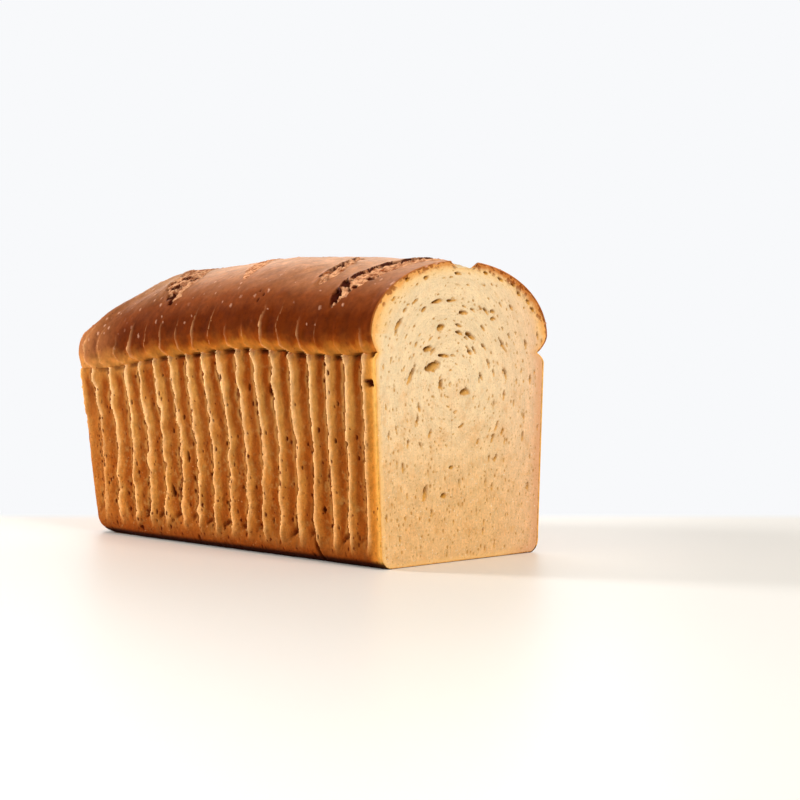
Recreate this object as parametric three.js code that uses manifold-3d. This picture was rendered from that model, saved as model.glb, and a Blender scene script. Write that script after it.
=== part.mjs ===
// A tin loaf with the first slices cut off: one solid of bread, with folded ribs down its walls,
// a crown that has risen over the tin's rim, slashes across the crown and an open crumb at the cut.
// Millimetres, +Z up. The cut faces +X, and the origin is at the middle of the base.
// "s" is a distance from the cut towards the far end; "y" runs across the loaf.
import * as THREE from 'three';
import { mergeVertices } from 'three/addons/utils/BufferGeometryUtils.js';
import Module from 'manifold-3d';

const wasm = await Module();
wasm.setup();

// ---- Driving dimensions ----
const BASE_HALF = 51.8;          // half the width of the base
const SHOULDER_HALF = 56.3;      // half the width of the tin body, under the crown
const LIP_HALF = 59.0;           // half the width of the crown's lip, which hangs over the body
const BASE_LENGTH = 231;         // cut to far end, at the base
const SHOULDER_LENGTH = 246;     // cut to far end, at the shoulder
const LIP_LENGTH = 246;          // cut to far end, at the crown's lip
const BODY_CORNER = 14;          // radius of the upright corners of the tin body
const LIP_CORNER = 24;           // radius of the crown's corners, seen from above
const BASE_EDGE = 7;             // radius of the edge under the walls
const SHOULDER_Z = 96.5;         // height of the notch between body and crown
const SHOULDER_RISE = 2.5;       // the notch lifts this much at mid loaf
const SHOULDER_DROP = 7.5;       // and falls this much towards the far end
const NOTCH_DEPTH = { near: 3.2, far: 5, end: 1.6 };   // how far the notch goes in, by wall
const LIP_ABOVE = 8.5;           // the lip's widest line above the notch
const CROWN_AT_CUT = 140.3;      // height of the crown at the cut
const CROWN_SWELL = 5.5;         // how much higher it is at mid loaf
const CROWN_FALL = 5;            // and how far it has fallen again where the ridge ends
const CROWN_POLE = 166;          // where the ridge ends and the dome of the far end starts
const OVERRUN = 12;              // the baked loaf runs on past the cut, and is then sliced

// ---- Ribs: folds in the wall, one side steep and the other sloping ----
const FIRST_RIB = 7.5;           // crest of the first whole rib behind the cut
const RIB_PITCH = 11.7;          // pitch at the cut
const PITCH_GROWTH = 0.085;      // each rib is a little wider than the one before
const NEAR_RIBS = 16;            // ribs on a long wall after the first
const END_RIBS = 9;              // ribs round the far end
const RIB_CREST = 0.8;           // crest outside the mean wall
const RIB_GROOVE = 1.5;          // groove inside the mean wall
const RIB_START_Z = 9;           // ribs fade in from here
const RIB_FULL_Z = 20;           // and are full from here
const RIB_LEAN = 0.035;          // share of s by which a crest leans back at its top
const RIB_WANDER = 1.1;          // how far a crest wanders sideways
const RIB_STEPS = [[0, 1], [0.13, 0], [0.55, 0.45]];   // place within a pitch, height of the relief
const CREASE_RIB = 3;            // behind this rib the fold is a deep crease, down to the base
const CREASE_DEPTH = 2.2;        // how much deeper it is than the others

const clamp01 = (t) => Math.min(1, Math.max(0, t));
const smooth = (a, b, t) => {
  const k = clamp01((t - a) / (b - a));
  return k * k * (3 - 2 * k);
};

// A repeatable stream of numbers from 0 to 1
function seeded(seed) {
  let state = seed;
  return () => {
    state = (state * 1664525 + 1013904223) % 4294967296;
    return state / 4294967296;
  };
}

// ---- The lengthwise shape ----
const shoulderZ = (s) => SHOULDER_Z
  + SHOULDER_RISE * Math.exp(-(((s - 95) / 35) ** 2))
  - SHOULDER_DROP * smooth(140, 215, s);
const crownZ = (s) => CROWN_AT_CUT
  + CROWN_SWELL * Math.sin((Math.PI / 2) * clamp01(s / 130))
  - CROWN_FALL * smooth(110, CROWN_POLE + 10, s);

// Plan outlines are round-ended rectangles: half width, length and corner radius at a height
function bodyOutline(z) {
  const rise = clamp01(z / SHOULDER_Z);
  return {
    half: BASE_HALF + (SHOULDER_HALF - BASE_HALF) * rise,
    length: BASE_LENGTH + (SHOULDER_LENGTH - BASE_LENGTH) * rise,
    corner: BODY_CORNER,
  };
}
const LIP_OUTLINE = { half: LIP_HALF, length: LIP_LENGTH, corner: LIP_CORNER };

// ---- Columns: upright lines round the loaf, from the near wall over the far end to the far wall ----
const STRAIGHT_END = BASE_LENGTH - BODY_CORNER;

function ribCrest(i) {
  return FIRST_RIB + RIB_PITCH * i + PITCH_GROWTH * i * i;
}

function wallColumns() {
  const columns = [{ s: -OVERRUN, relief: 0.5, rib: -2 }];
  for (let i = -1; i <= NEAR_RIBS; i++) {
    for (const [place, relief] of RIB_STEPS) {
      const s = ribCrest(i) + place * (ribCrest(i + 1) - ribCrest(i));
      const crease = i === CREASE_RIB && relief === 0;
      if (s > -OVERRUN + 1 && s < STRAIGHT_END - 1) columns.push({ s, relief, rib: i, crease });
    }
  }
  return columns;
}

function allColumns() {
  const wall = wallColumns();
  const near = wall.map((c) => ({ ...c, part: 'near' }));
  const end = [];
  for (let i = 0; i < END_RIBS; i++) {
    for (const [place, relief] of RIB_STEPS) {
      end.push({ turn: (i + place) / END_RIBS, relief, rib: NEAR_RIBS + 1 + i, part: 'end' });
    }
  }
  const far = wall.map((c) => ({ ...c, part: 'far', rib: c.rib + 40 })).reverse();
  return [...near, ...end, ...far];
}

// The point of a column on an outline, and the way out from there
function onOutline(column, outline, inset) {
  const half = outline.half - inset;
  const length = outline.length - inset;
  const corner = Math.max(2, outline.corner - inset);
  const straight = length - corner;
  const side = column.part === 'far' ? 1 : -1;
  if (column.part !== 'end') {
    const stretch = straight - STRAIGHT_END;
    const s = column.s + stretch * clamp01(column.s / STRAIGHT_END) ** 3;
    return { s, y: side * half, outS: 0, outY: side };
  }
  const arc = (Math.PI / 2) * corner;
  const across = 2 * (half - corner);
  let run = column.turn * (2 * arc + across);
  if (run < arc) {
    const a = run / corner;
    return {
      s: straight + corner * Math.sin(a), y: -(half - corner) - corner * Math.cos(a),
      outS: Math.sin(a), outY: -Math.cos(a),
    };
  }
  run -= arc;
  if (run < across) return { s: length, y: -(half - corner) + run, outS: 1, outY: 0 };
  const a = (run - across) / corner;
  return {
    s: straight + corner * Math.cos(a), y: half - corner + corner * Math.sin(a),
    outS: Math.cos(a), outY: Math.sin(a),
  };
}

// Sideways wander of a rib's crest, different for each rib
function wander(rib, z) {
  return RIB_WANDER * Math.sin(z / 9 + rib * 2.4);
}

// ---- Rows: the loaf's outline from the base up to the ridge ----
const WALL_ROWS = 9;
const CROWN_ROWS = 8;

function columnPoints(column) {
  const s0 = column.s ?? STRAIGHT_END;
  const notch = shoulderZ(s0);
  const wallTop = notch - 5;
  const points = [];
  const add = (outline, inset, z, ribs) => {
    const p = onOutline(column, outline, inset);
    const strength = ribs * smooth(RIB_START_Z, RIB_FULL_Z, z);
    const crease = column.crease && ribs > 0.5 ? CREASE_DEPTH : 0;
    const out = strength * (RIB_CREST * column.relief - RIB_GROOVE * (1 - column.relief)) - crease;
    let along = 0;
    if (column.part !== 'end') {
      const lean = RIB_LEAN * Math.max(0, s0) * smooth(55, notch, z);
      along = strength * (wander(column.rib, z) + lean);
    }
    points.push(new THREE.Vector3(-(p.s + out * p.outS + along), p.y + out * p.outY, z));
  };
  add(bodyOutline(0), BASE_EDGE, 0, 0);
  add(bodyOutline(2), BASE_EDGE * 0.3, BASE_EDGE * 0.3, 0);
  for (let k = 0; k <= WALL_ROWS; k++) {
    const z = BASE_EDGE + (wallTop - BASE_EDGE) * (k / WALL_ROWS);
    add(bodyOutline(z), 0, z, 1);
  }
  const depth = NOTCH_DEPTH[column.part];
  const hang = LIP_HALF - SHOULDER_HALF;
  add(bodyOutline(notch), depth * 0.3, notch - 2.2, 0.7);
  add(bodyOutline(notch), depth, notch, 0.3);
  add(LIP_OUTLINE, hang + depth * 0.5, notch + 2, 0.3);
  add(LIP_OUTLINE, hang * 0.4, notch + 4.6, 0.3);
  add(LIP_OUTLINE, 0, notch + LIP_ABOVE, 0.25);

  const lip = points[points.length - 1];
  const ridgeS = column.part === 'end' ? CROWN_POLE
    : s0 - (STRAIGHT_END - CROWN_POLE) * clamp01(s0 / STRAIGHT_END) ** 4;
  const top = new THREE.Vector3(-ridgeS, 0, crownZ(ridgeS));
  for (let k = 1; k <= CROWN_ROWS; k++) {
    const a = (Math.PI / 2) * (k / (CROWN_ROWS + 1));
    const p = new THREE.Vector3().lerpVectors(top, lip, Math.cos(a));
    p.z = lip.z + (top.z - lip.z) * Math.sin(a);
    points.push(p);
  }
  points.push(top);
  return points;
}

// ---- A closed skin from the columns: walls and crown, flat base, and a flat cap past the cut ----
function bakedLoaf() {
  const grid = allColumns().map(columnPoints);
  const position = [];
  const face = (...corners) => corners.forEach((p) => position.push(p.x, p.y, p.z));
  for (let c = 0; c + 1 < grid.length; c++) {
    for (let r = 0; r + 1 < grid[c].length; r++) {
      const [a, b, d, e] = [grid[c][r], grid[c + 1][r], grid[c + 1][r + 1], grid[c][r + 1]];
      face(a, d, b);
      face(a, e, d);
    }
  }
  const flat = (corners, u, v) => {
    const outline = corners.map((p) => new THREE.Vector2(u(p), v(p)));
    for (const [a, b, c] of THREE.ShapeUtils.triangulateShape(outline, [])) {
      face(corners[a], corners[b], corners[c]);
    }
  };
  flat(grid.map((column) => column[0]), (p) => -p.x, (p) => p.y);
  const last = grid[grid.length - 1];
  flat([...last, ...grid[0].slice(0, -1).reverse()], (p) => p.y, (p) => p.z);
  return asSolid(new THREE.BufferGeometry()
    .setAttribute('position', new THREE.Float32BufferAttribute(position, 3)));
}

// ---- Between three.js meshes and solids that can be joined and cut ----
function asSolid(geometry) {
  const bare = new THREE.BufferGeometry();
  bare.setAttribute('position', geometry.getAttribute('position'));
  bare.setIndex(geometry.getIndex());
  const merged = mergeVertices(bare, 1e-3);
  const index = [...merged.getIndex().array];
  const kept = [];
  for (let i = 0; i < index.length; i += 3) {
    const [a, b, c] = index.slice(i, i + 3);
    if (a !== b && b !== c && c !== a) kept.push(a, b, c);
  }
  return new wasm.Manifold(new wasm.Mesh({
    numProp: 3,
    vertProperties: merged.getAttribute('position').array,
    triVerts: new Uint32Array(kept),
  }));
}

function asGeometry(solid) {
  const mesh = solid.getMesh();
  const geometry = new THREE.BufferGeometry();
  geometry.setAttribute('position', new THREE.BufferAttribute(mesh.vertProperties, 3));
  geometry.setIndex(new THREE.BufferAttribute(mesh.triVerts, 1));
  geometry.computeVertexNormals();
  return geometry;
}

// A squashed ball, used as the tool that scoops a hollow
function ball(centre, [rx, ry, rz], tilt) {
  const geometry = new THREE.SphereGeometry(1, 6, 5);
  geometry.scale(rx, ry, rz);
  geometry.rotateX(tilt);
  geometry.translate(centre.x, centre.y, centre.z);
  return asSolid(geometry);
}

// ---- Slashes: torn furrows over the crown, each from one (s, y) to the next, bent by a bow ----
const SLASHES = [
  { from: [157, -51], to: [186, 20], bow: 3, width: 4 },
  { from: [112, -41], to: [140, 24], bow: 3, width: 3.2 },
  { from: [52, -45], to: [66, 20], bow: -2, width: 3.2 },
  { from: [33, -53], to: [-8, 10], bow: 9, width: 4.6 },
];
const SLASH_DEPTH = 0.62;        // share of a slash's half width that goes into the crown

function crownSurface(s, y) {
  const lipZ = shoulderZ(s) + LIP_ABOVE;
  const share = Math.min(0.995, Math.abs(y) / LIP_HALF);
  return new THREE.Vector3(-s, y, lipZ + (crownZ(s) - lipZ) * Math.sqrt(1 - share * share));
}

// The tool is a ball drawn out along the slash's path, thin at both ends
function slash({ from, to, bow, width }) {
  const geometry = new THREE.SphereGeometry(1, 6, 14);
  const position = geometry.getAttribute('position');
  const path = (t) => crownSurface(
    from[0] + (to[0] - from[0]) * t + bow * Math.sin(Math.PI * t),
    from[1] + (to[1] - from[1]) * t,
  );
  const along = path(1).sub(path(0)).setZ(0).normalize();
  const across = new THREE.Vector3(along.y, -along.x, 0);
  for (let i = 0; i < position.count; i++) {
    const p = new THREE.Vector3().fromBufferAttribute(position, i);
    const t = (p.y + 1) / 2;
    const middle = path(t);
    const out = new THREE.Vector3(0, middle.y / LIP_HALF, 0.8).normalize();
    middle.addScaledVector(across, p.x * width);
    middle.addScaledVector(out, width * (p.z + (1 - SLASH_DEPTH) * Math.sqrt(1 - p.y * p.y)));
    position.setXYZ(i, middle.x, middle.y, middle.z);
  }
  return asSolid(geometry);
}

// ---- Crumb: the largest bubbles opened by the knife, laid along the swirl of the rolled dough ----
const BUBBLES = 22;
const SWIRL = { y: -4, z: 78 };

function bubbles() {
  const random = seeded(11);
  const made = [];
  for (let k = 0; k < BUBBLES; k++) {
    const angle = -0.5 + (k / BUBBLES) * 4.2 + 0.25 * random();
    const radius = 12 + 34 * ((k * 7) % BUBBLES) / BUBBLES;
    const y = SWIRL.y + radius * Math.cos(angle);
    const z = SWIRL.z + radius * Math.sin(angle) * 1.15;
    const long = 1.8 + 2.2 * random();
    const flat = long * (0.35 + 0.15 * random());
    made.push(ball(new THREE.Vector3(0.2, y, z), [1.6, long, flat], angle + Math.PI / 2));
  }
  return wasm.Manifold.union(made);
}

// ---- The knife ----
function knife() {
  const geometry = new THREE.BoxGeometry(OVERRUN * 3, 160, 200);
  geometry.translate(OVERRUN * 1.5, 0, 80);
  return asSolid(geometry);
}

let bread = bakedLoaf().subtract(knife());
bread = bread.subtract(wasm.Manifold.union(SLASHES.map(slash)));
bread = bread.subtract(bubbles());

const crust = new THREE.MeshStandardMaterial({ color: 0xc98646, roughness: 0.75, metalness: 0 });
const loaf = new THREE.Mesh(asGeometry(bread), crust);
loaf.name = 'loaf';
loaf.geometry.computeBoundingBox();
const middle = loaf.geometry.boundingBox.getCenter(new THREE.Vector3());
loaf.geometry.translate(-middle.x, -middle.y, -loaf.geometry.boundingBox.min.z);

const group = new THREE.Group();
group.add(loaf);

export default group;
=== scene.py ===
# %% [markdown]
# # A tin loaf
#
# This loaf was baked in a straight-sided tin. The dough rose over the rim, so there is a domed crown with
# a lip, and a notch where the rim was. The walls shrank a little as they cooled and hang in upright folds.
# One end has been sliced off, so the crumb shows. We build each of those pieces as a fine mesh, let
# Geometry Nodes add what repeats or is scattered, and finish each with a material made of nodes.
#
# The first cell loads the solid model. It gives the loaf's true size and place, and it is never moved.

# %% Load the solid model
import math
from functools import reduce

import bpy
import numpy as np
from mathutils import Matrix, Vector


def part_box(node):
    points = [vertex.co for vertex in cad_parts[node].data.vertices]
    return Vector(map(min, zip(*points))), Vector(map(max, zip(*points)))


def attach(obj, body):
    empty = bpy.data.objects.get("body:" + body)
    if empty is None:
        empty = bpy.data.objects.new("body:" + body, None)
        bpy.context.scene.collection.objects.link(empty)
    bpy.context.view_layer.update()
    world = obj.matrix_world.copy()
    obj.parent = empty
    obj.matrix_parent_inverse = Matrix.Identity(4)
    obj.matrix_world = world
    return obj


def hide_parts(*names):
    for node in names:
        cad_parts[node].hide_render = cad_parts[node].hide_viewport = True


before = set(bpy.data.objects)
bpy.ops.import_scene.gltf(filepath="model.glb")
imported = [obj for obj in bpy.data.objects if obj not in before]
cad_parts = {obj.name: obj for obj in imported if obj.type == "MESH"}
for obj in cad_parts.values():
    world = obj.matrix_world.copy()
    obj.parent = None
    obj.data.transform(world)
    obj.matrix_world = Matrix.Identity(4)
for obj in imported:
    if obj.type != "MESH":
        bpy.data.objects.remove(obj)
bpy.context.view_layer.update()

low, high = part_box("loaf")
print("solid model, in metres:", [round(v, 4) for v in low], [round(v, 4) for v in high])

# %% [markdown]
# ## Working in millimetres
#
# Bread folds and bubbles are a millimetre or so across, so we model in millimetres and shrink each finished
# mesh to metres at the end. X runs along the loaf, and the cut is at the +X end. It is easiest to measure
# from the cut: `s` is the distance behind it.

# %% Driving sizes, in millimetres
MM = 0.001
CUT_X = high[0] / MM        # where the knife went through

BASE_HALF = 51.8            # half the width at the base, at the shoulder and at the lip
SHOULDER_HALF = 56.3
LIP_HALF = 59.0
BASE_LENGTH = 233.0         # from the cut to the far end, at the same three heights
SHOULDER_LENGTH = 247.3
LIP_LENGTH = 248.2
BODY_CORNER = 14.0          # upright corners of the tin
LIP_CORNER = 19.0
SHOULDER_Z = 95.9
MID_LOAF = 92.0             # where the notch under the lip runs highest
NOTCH_SWELL = 3.3           # by how much
NOTCH_AT_CUT = 1.3          # a smaller rise beside the cut
NOTCH_FALL = 7.2            # how far it comes down towards the far end
LIP_RISE = 8.5              # the lip's widest line above the notch
CROWN_AT_CUT = 140.3
CROWN_SWELL = 5.9
CROWN_FALL = 4.2
CROWN_POLE = 166.0          # where the ridge ends and the far dome starts
STRAIGHT_END = BASE_LENGTH - BODY_CORNER

FIRST_FOLD = 7.5            # the folds: the first crest behind the cut, the pitch there, and its growth
FOLD_PITCH = 11.7
PITCH_GROWTH = 0.085
MIDDLE_END_FOLD = 21        # the crest that stands in the middle of the far end
CREASE_FOLD = 4.0           # the fold that the deep crease lies in
CREASE_FROM_CUT = 46.0
FAR_PART = (150, 205)       # behind the cut: there the wall and the lip start to flow into each other

END_ARC = 126               # rough lengths, from which the numbers of columns and rows are worked out
WALL_RISE = 86
DOME_ARC = 74
TUCKS = np.array((0.25, 0.8, 1.6))      # how far columns are tucked in behind the cut face

print("cut face at x =", round(CUT_X, 2), "mm")

# %% [markdown]
# ## The camera
#
# A camera at two thirds of the loaf's height looks along the long wall at about 46 degrees, so that the
# wall and the cut face both show.

# %% Camera
CAMERA_FROM_CUT = (551.6, -572.0, 97.6)     # millimetres, from the foot of the cut's middle
CAMERA_PITCH = 1.61                         # degrees below level
CAMERA_TURN = 46.1
CAMERA_LENS = 76.5                          # on a sensor 36 mm wide


def add_camera():
    data = bpy.data.cameras.new("camera")
    data.lens = CAMERA_LENS
    data.sensor_width = 36.0
    data.clip_start = 0.01
    camera = bpy.data.objects.new("camera", data)
    x, y, z = CAMERA_FROM_CUT
    camera.location = ((CUT_X + x) * MM, y * MM, z * MM)
    camera.rotation_euler = (math.radians(90 - CAMERA_PITCH), 0, math.radians(CAMERA_TURN))
    bpy.context.scene.collection.objects.link(camera)
    bpy.context.scene.camera = camera
    return camera


camera = add_camera()
print("camera at", [round(v, 3) for v in camera.location])

# %% [markdown]
# ## A shorthand for node trees
#
# Shader trees and Geometry Nodes trees share their Math nodes. Instead of wiring each one by hand, we wrap
# a socket in a small class, so that `a * b + 2` adds the nodes for us. It keeps the recipe for a fold as
# short as the formula for it.

# %% Node shorthand


def add_node(tree, kind, inputs=None, **settings):
    """Adds a node. Each input is a plain value or a Wire."""
    node = tree.nodes.new(kind)
    for name, value in settings.items():
        setattr(node, name, value)
    for key, value in (inputs or {}).items():
        if isinstance(value, Wire):
            tree.links.new(value.socket, node.inputs[key])
        else:
            node.inputs[key].default_value = value
    return node


def add_wire(tree, kind, inputs=None, output=0, **settings):
    """Adds a node and returns one of its outputs as a Wire."""
    return Wire(tree, add_node(tree, kind, inputs, **settings).outputs[output])


class Wire:
    """An output socket that can be added, multiplied and so on."""

    def __init__(self, tree, socket):
        self.tree = tree
        self.socket = socket

    def math(self, operation, *others):
        inputs = dict(enumerate((self, *others)))
        return add_wire(self.tree, "ShaderNodeMath", inputs, operation=operation)

    def vector(self, operation, *others, output=0):
        inputs = dict(enumerate((self, *others)))
        return add_wire(self.tree, "ShaderNodeVectorMath", inputs, output, operation=operation)

    def scaled(self, factor):
        inputs = {0: self, "Scale": factor}
        return add_wire(self.tree, "ShaderNodeVectorMath", inputs, operation="SCALE")

    def dot(self, other):
        return self.vector("DOT_PRODUCT", other, output="Value")

    def step(self, start, end):
        """0 before start, 1 after end, and smooth between them."""
        inputs = {"Value": self, "From Min": start, "From Max": end}
        return add_wire(self.tree, "ShaderNodeMapRange", inputs, interpolation_type="SMOOTHSTEP")

    def fall(self, start, end):
        """1 before start, 0 after end, and smooth between them."""
        return 1.0 - self.step(start, end)

    def band(self, start, full, fading, end):
        """0 at first, 1 from full to fading, then 0 again."""
        return self.step(start, full) - self.step(fading, end)

    def curve(self, *points):
        """A curve drawn through the points, from 0 to 1."""
        node = add_node(self.tree, "ShaderNodeFloatCurve", {"Value": self})
        line = node.mapping.curves[0].points
        for _ in points[2:]:
            line.new(0.5, 0.5)
        for point, (x, y) in zip(line, points):
            point.location = (x, y)
            point.handle_type = "AUTO_CLAMPED"
        node.mapping.update()
        return Wire(self.tree, node.outputs[0])

    def max(self, other):
        return self.math("MAXIMUM", other)

    def min(self, other):
        return self.math("MINIMUM", other)

    def abs(self):
        return self.math("ABSOLUTE")

    def __add__(self, other):
        return self.math("ADD", other)

    def __sub__(self, other):
        return self.math("SUBTRACT", other)

    def __mul__(self, other):
        return self.math("MULTIPLY", other)

    def __truediv__(self, other):
        return self.math("DIVIDE", other)

    def __rsub__(self, other):
        return self.math("MULTIPLY_ADD", -1.0, other)

    def __rtruediv__(self, other):
        return add_wire(self.tree, "ShaderNodeMath", {0: other, 1: self}, operation="DIVIDE")

    __radd__ = __add__
    __rmul__ = __mul__


def tree_of(values):
    """The tree that the first Wire among the values belongs to."""
    return next(value.tree for value in values if isinstance(value, Wire))


def joined(*numbers):
    """Three numbers as one vector."""
    return add_wire(tree_of(numbers), "ShaderNodeCombineXYZ", dict(enumerate(numbers)))


def split(vector):
    """A vector as its three numbers."""
    node = add_node(vector.tree, "ShaderNodeSeparateXYZ", {0: vector})
    return [Wire(vector.tree, socket) for socket in node.outputs]


def noise(place, size, detail=2.0, roughness=0.5):
    """Cloudy noise about 0, from -1 to 1, with lumps of the given size."""
    inputs = {"Vector": place, "Scale": 1 / size, "Detail": detail, "Roughness": roughness}
    return add_wire(place.tree, "ShaderNodeTexNoise", inputs) * 2.0 - 1.0


GEOMETRY, MATERIAL = "NodeSocketGeometry", "NodeSocketMaterial"
SOCKETS = {float: "NodeSocketFloat", int: "NodeSocketInt", tuple: "NodeSocketVector"}


def new_tree(kind, name, inputs):
    """A node tree with inputs {name: first value}. GEOMETRY or MATERIAL stands in for a value."""
    tree = bpy.data.node_groups.new(name, kind)
    for label, value in inputs.items():
        socket = SOCKETS.get(type(value), value)
        made = tree.interface.new_socket(label, in_out="INPUT", socket_type=socket)
        if socket != value:
            made.default_value = value
    start = tree.nodes.new("NodeGroupInput")
    return tree, {socket.name: Wire(tree, socket) for socket in start.outputs if socket.name}


def give(tree, **results):
    """Adds a tree's named outputs and leads the results to them."""
    for label in results:
        socket = GEOMETRY if label == "Geometry" else SOCKETS[float]
        tree.interface.new_socket(label, in_out="OUTPUT", socket_type=socket)
    add_node(tree, "NodeGroupOutput", results)
    return tree


def place_group(group, inputs):
    """Puts a node group in the tree that its inputs come from, and returns its outputs by name."""
    tree = tree_of(inputs.values())
    node = add_node(tree, group.bl_idname.replace("Tree", "Group"), inputs, node_tree=group)
    return {socket.name: Wire(tree, socket) for socket in node.outputs}


print("node shorthand ready")

# %% [markdown]
# ## The loaf's form
#
# Seen from above the loaf is a rectangle with rounded corners, a little wider at the shoulder than at the
# base. The notch under the lip rises at mid loaf and falls towards the far end. Two short rules give its
# height and the crown's, and a third walks round the outline. Rules like these are easier to adjust than a
# sculpted mesh, and every piece that meets at the notch or the cut can share them.

# %% Rules for the form


def smooth(start, end, x):
    """0 before start, 1 after end, as `step` is for wires."""
    k = np.clip((x - start) / (end - start), 0, 1)
    return k * k * (3 - 2 * k)


def notch_height(s):
    """How high the notch under the lip runs."""
    rise = NOTCH_SWELL * np.exp(-(((s - MID_LOAF) / 36) ** 2)) + NOTCH_AT_CUT * np.exp(-((s / 9) ** 2))
    return SHOULDER_Z + rise - NOTCH_FALL * smooth(140, 215, s)


def crown_height(s):
    """How high the crown's ridge runs."""
    swell = CROWN_SWELL * np.sin(np.pi / 2 * np.clip(s / 130, 0, 1))
    return CROWN_AT_CUT + swell - CROWN_FALL * smooth(110, CROWN_POLE + 10, s)


def fold_number(s):
    """How many crests lie between the first one and s, as a decimal."""
    a, b = PITCH_GROWTH, FOLD_PITCH
    return (-b + np.sqrt(b * b + 4 * a * (s - FIRST_FOLD))) / (2 * a)


def columns(near_step, end_step, far_step):
    """Columns from the near wall's cut edge round the far end to the far wall's cut edge.

    At both edges a few more columns are tucked in behind the cut face, so that no gap shows there."""
    near = np.arange(0, STRAIGHT_END - near_step / 2, near_step)
    turn = np.linspace(0, 1, int(END_ARC / end_step))
    far = np.arange(0, STRAIGHT_END - far_step / 2, far_step)[::-1]
    behind = 0.45 * TUCKS       # so that the crumb's own edge stays in front
    first, last = np.ones(len(TUCKS) + len(near)), np.ones(len(far) + len(TUCKS))
    turns = np.concatenate([0 * first, turn, last])
    return {
        "s": np.concatenate([behind[::-1], near, np.full(len(turn), STRAIGHT_END), far, behind]),
        "turn": turns,                                              # 0 on the near side, 1 on the far side
        "side": np.sign(turns - 0.5),
        "part": np.concatenate([-first, 0 * turn, last]),           # 0 round the far end
        "tuck": np.concatenate([TUCKS[::-1], np.zeros(len(near) + len(turn) + len(far)), TUCKS]),
    }


def outline(cols, half, length, corner):
    """Points (s, y) and outward directions on a rounded rectangle, whose sizes may differ at each point."""
    corner = np.maximum(corner, 1.5)
    straight = length - corner
    share = np.clip(cols["s"] / STRAIGHT_END, 0, 1)
    s = cols["s"] + (straight - STRAIGHT_END) * share**3
    arc = np.pi / 2 * corner
    across = 2 * (half - corner)
    run = cols["turn"] * (2 * arc + across)
    first, last = run < arc, run > arc + across
    a = np.where(last, (run - across) / corner, np.where(first, run / corner, np.pi / 2))
    corner_y = -(half - corner) * np.where(last, -1, 1) - corner * np.cos(a)
    end_y = np.where(first | last, corner_y, -(half - corner) + run - arc)
    end = cols["part"] == 0
    return (
        np.where(end, straight + corner * np.sin(a), s),
        np.where(end, end_y, cols["side"] * half),
        np.where(end, np.sin(a), 0),
        np.where(end, -np.cos(a), cols["side"]),
    )


def slab_proud(s):
    """The front slab, cut side of the deep crease, stands a little proud of the rest."""
    return 0.5 * (1 - smooth(41, 45, s))


for label, rule in (("notch", notch_height), ("crown", crown_height)):
    heights = [round(float(rule(s)), 1) for s in (0, MID_LOAF, CROWN_POLE)]
    print(label, "height at the cut, mid loaf and far dome:", heights)

# %% [markdown]
# ## From rules to a mesh
#
# Each piece starts as a grid: columns round the loaf, rows up it. Numbers that later steps need, such as
# the height of a point or how far it is from the cut, are stored on the mesh as attributes. Geometry Nodes
# and the materials can both read them.

# %% Grid to mesh
TO_METRES = ((MM, 0, 0, 0), (0, MM, 0, 0), (0, 0, MM, 0), (0, 0, 0, 1))


def grid_mesh(name, points, attributes, flip=False):
    """A mesh of quads from points[row, column], in millimetres, with a number or vector for each point."""
    rows, cols = points.shape[:2]
    index = np.arange(rows * cols).reshape(rows, cols)
    a, b, c, d = index[:-1, :-1], index[:-1, 1:], index[1:, 1:], index[1:, :-1]
    quads = np.stack([a, d, c, b] if flip else [a, b, c, d], -1).reshape(-1, 4)
    mesh = bpy.data.meshes.new(name)
    mesh.vertices.add(rows * cols)
    mesh.vertices.foreach_set("co", points.reshape(-1).astype(np.float32))
    mesh.loops.add(quads.size)
    mesh.loops.foreach_set("vertex_index", quads.reshape(-1).astype(np.int32))
    mesh.polygons.add(len(quads))
    mesh.polygons.foreach_set("loop_start", np.arange(0, quads.size, 4, dtype=np.int32))
    mesh.polygons.foreach_set("use_smooth", np.ones(len(quads), bool))
    mesh.update(calc_edges=True)
    for label, values in attributes.items():
        kind, field = ("FLOAT_VECTOR", "vector") if values.ndim == 3 else ("FLOAT", "value")
        if values.ndim < 3:
            values = np.broadcast_to(values, (rows, cols))
        layer = mesh.attributes.new(label, kind, "POINT")
        layer.data.foreach_set(field, values.reshape(-1).astype(np.float32))
    mesh.validate()
    return mesh


def show(name, mesh):
    piece = bpy.data.objects.new(name, mesh)
    bpy.context.scene.collection.objects.link(piece)
    return piece


def run_tree(piece, tree, material):
    """Runs a Geometry Nodes tree on a piece, keeps the result as a plain mesh, and shrinks it to metres."""
    modifier = piece.modifiers.new(tree.name, "NODES")
    modifier.node_group = tree
    identifiers = {i.name: i.identifier for i in tree.interface.items_tree if i.in_out == "INPUT"}
    modifier[identifiers["Material"]] = material
    seen = piece.evaluated_get(bpy.context.evaluated_depsgraph_get())
    mesh = bpy.data.meshes.new_from_object(seen)
    piece.modifiers.remove(modifier)
    piece.data = mesh
    mesh.name = piece.name
    mesh.transform(TO_METRES)
    triangles = sum(len(p.vertices) - 2 for p in mesh.polygons)
    print(f"{piece.name}: {triangles} triangles")


print("grid and tree helpers ready")

# %% [markdown]
# ## Walls and crown before their relief
#
# The wall's rows go round the bottom edge, up the straight side and into the notch. The crown's rows come
# out of the notch, round the lip, and over the dome in quarter ellipses to the ridge. Both go a little
# deeper into the notch than they have to, so that they overlap in the dark.

# %% Walls and crown
NOTCH_NEAR, NOTCH_FAR, NOTCH_END = 1.8, 5.0, 0.5      # how far the notch goes in
UNDERCUT = 1.7                                        # how round the lip's underside is
END_SLOPE = 0.14                                      # how much the far dome is flattened, as a share
OVERLAP = 3.0                                         # how much deeper both pieces go inside the notch
WALL_STEP, CROWN_STEP = 0.6, 0.66                     # between rows


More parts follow.
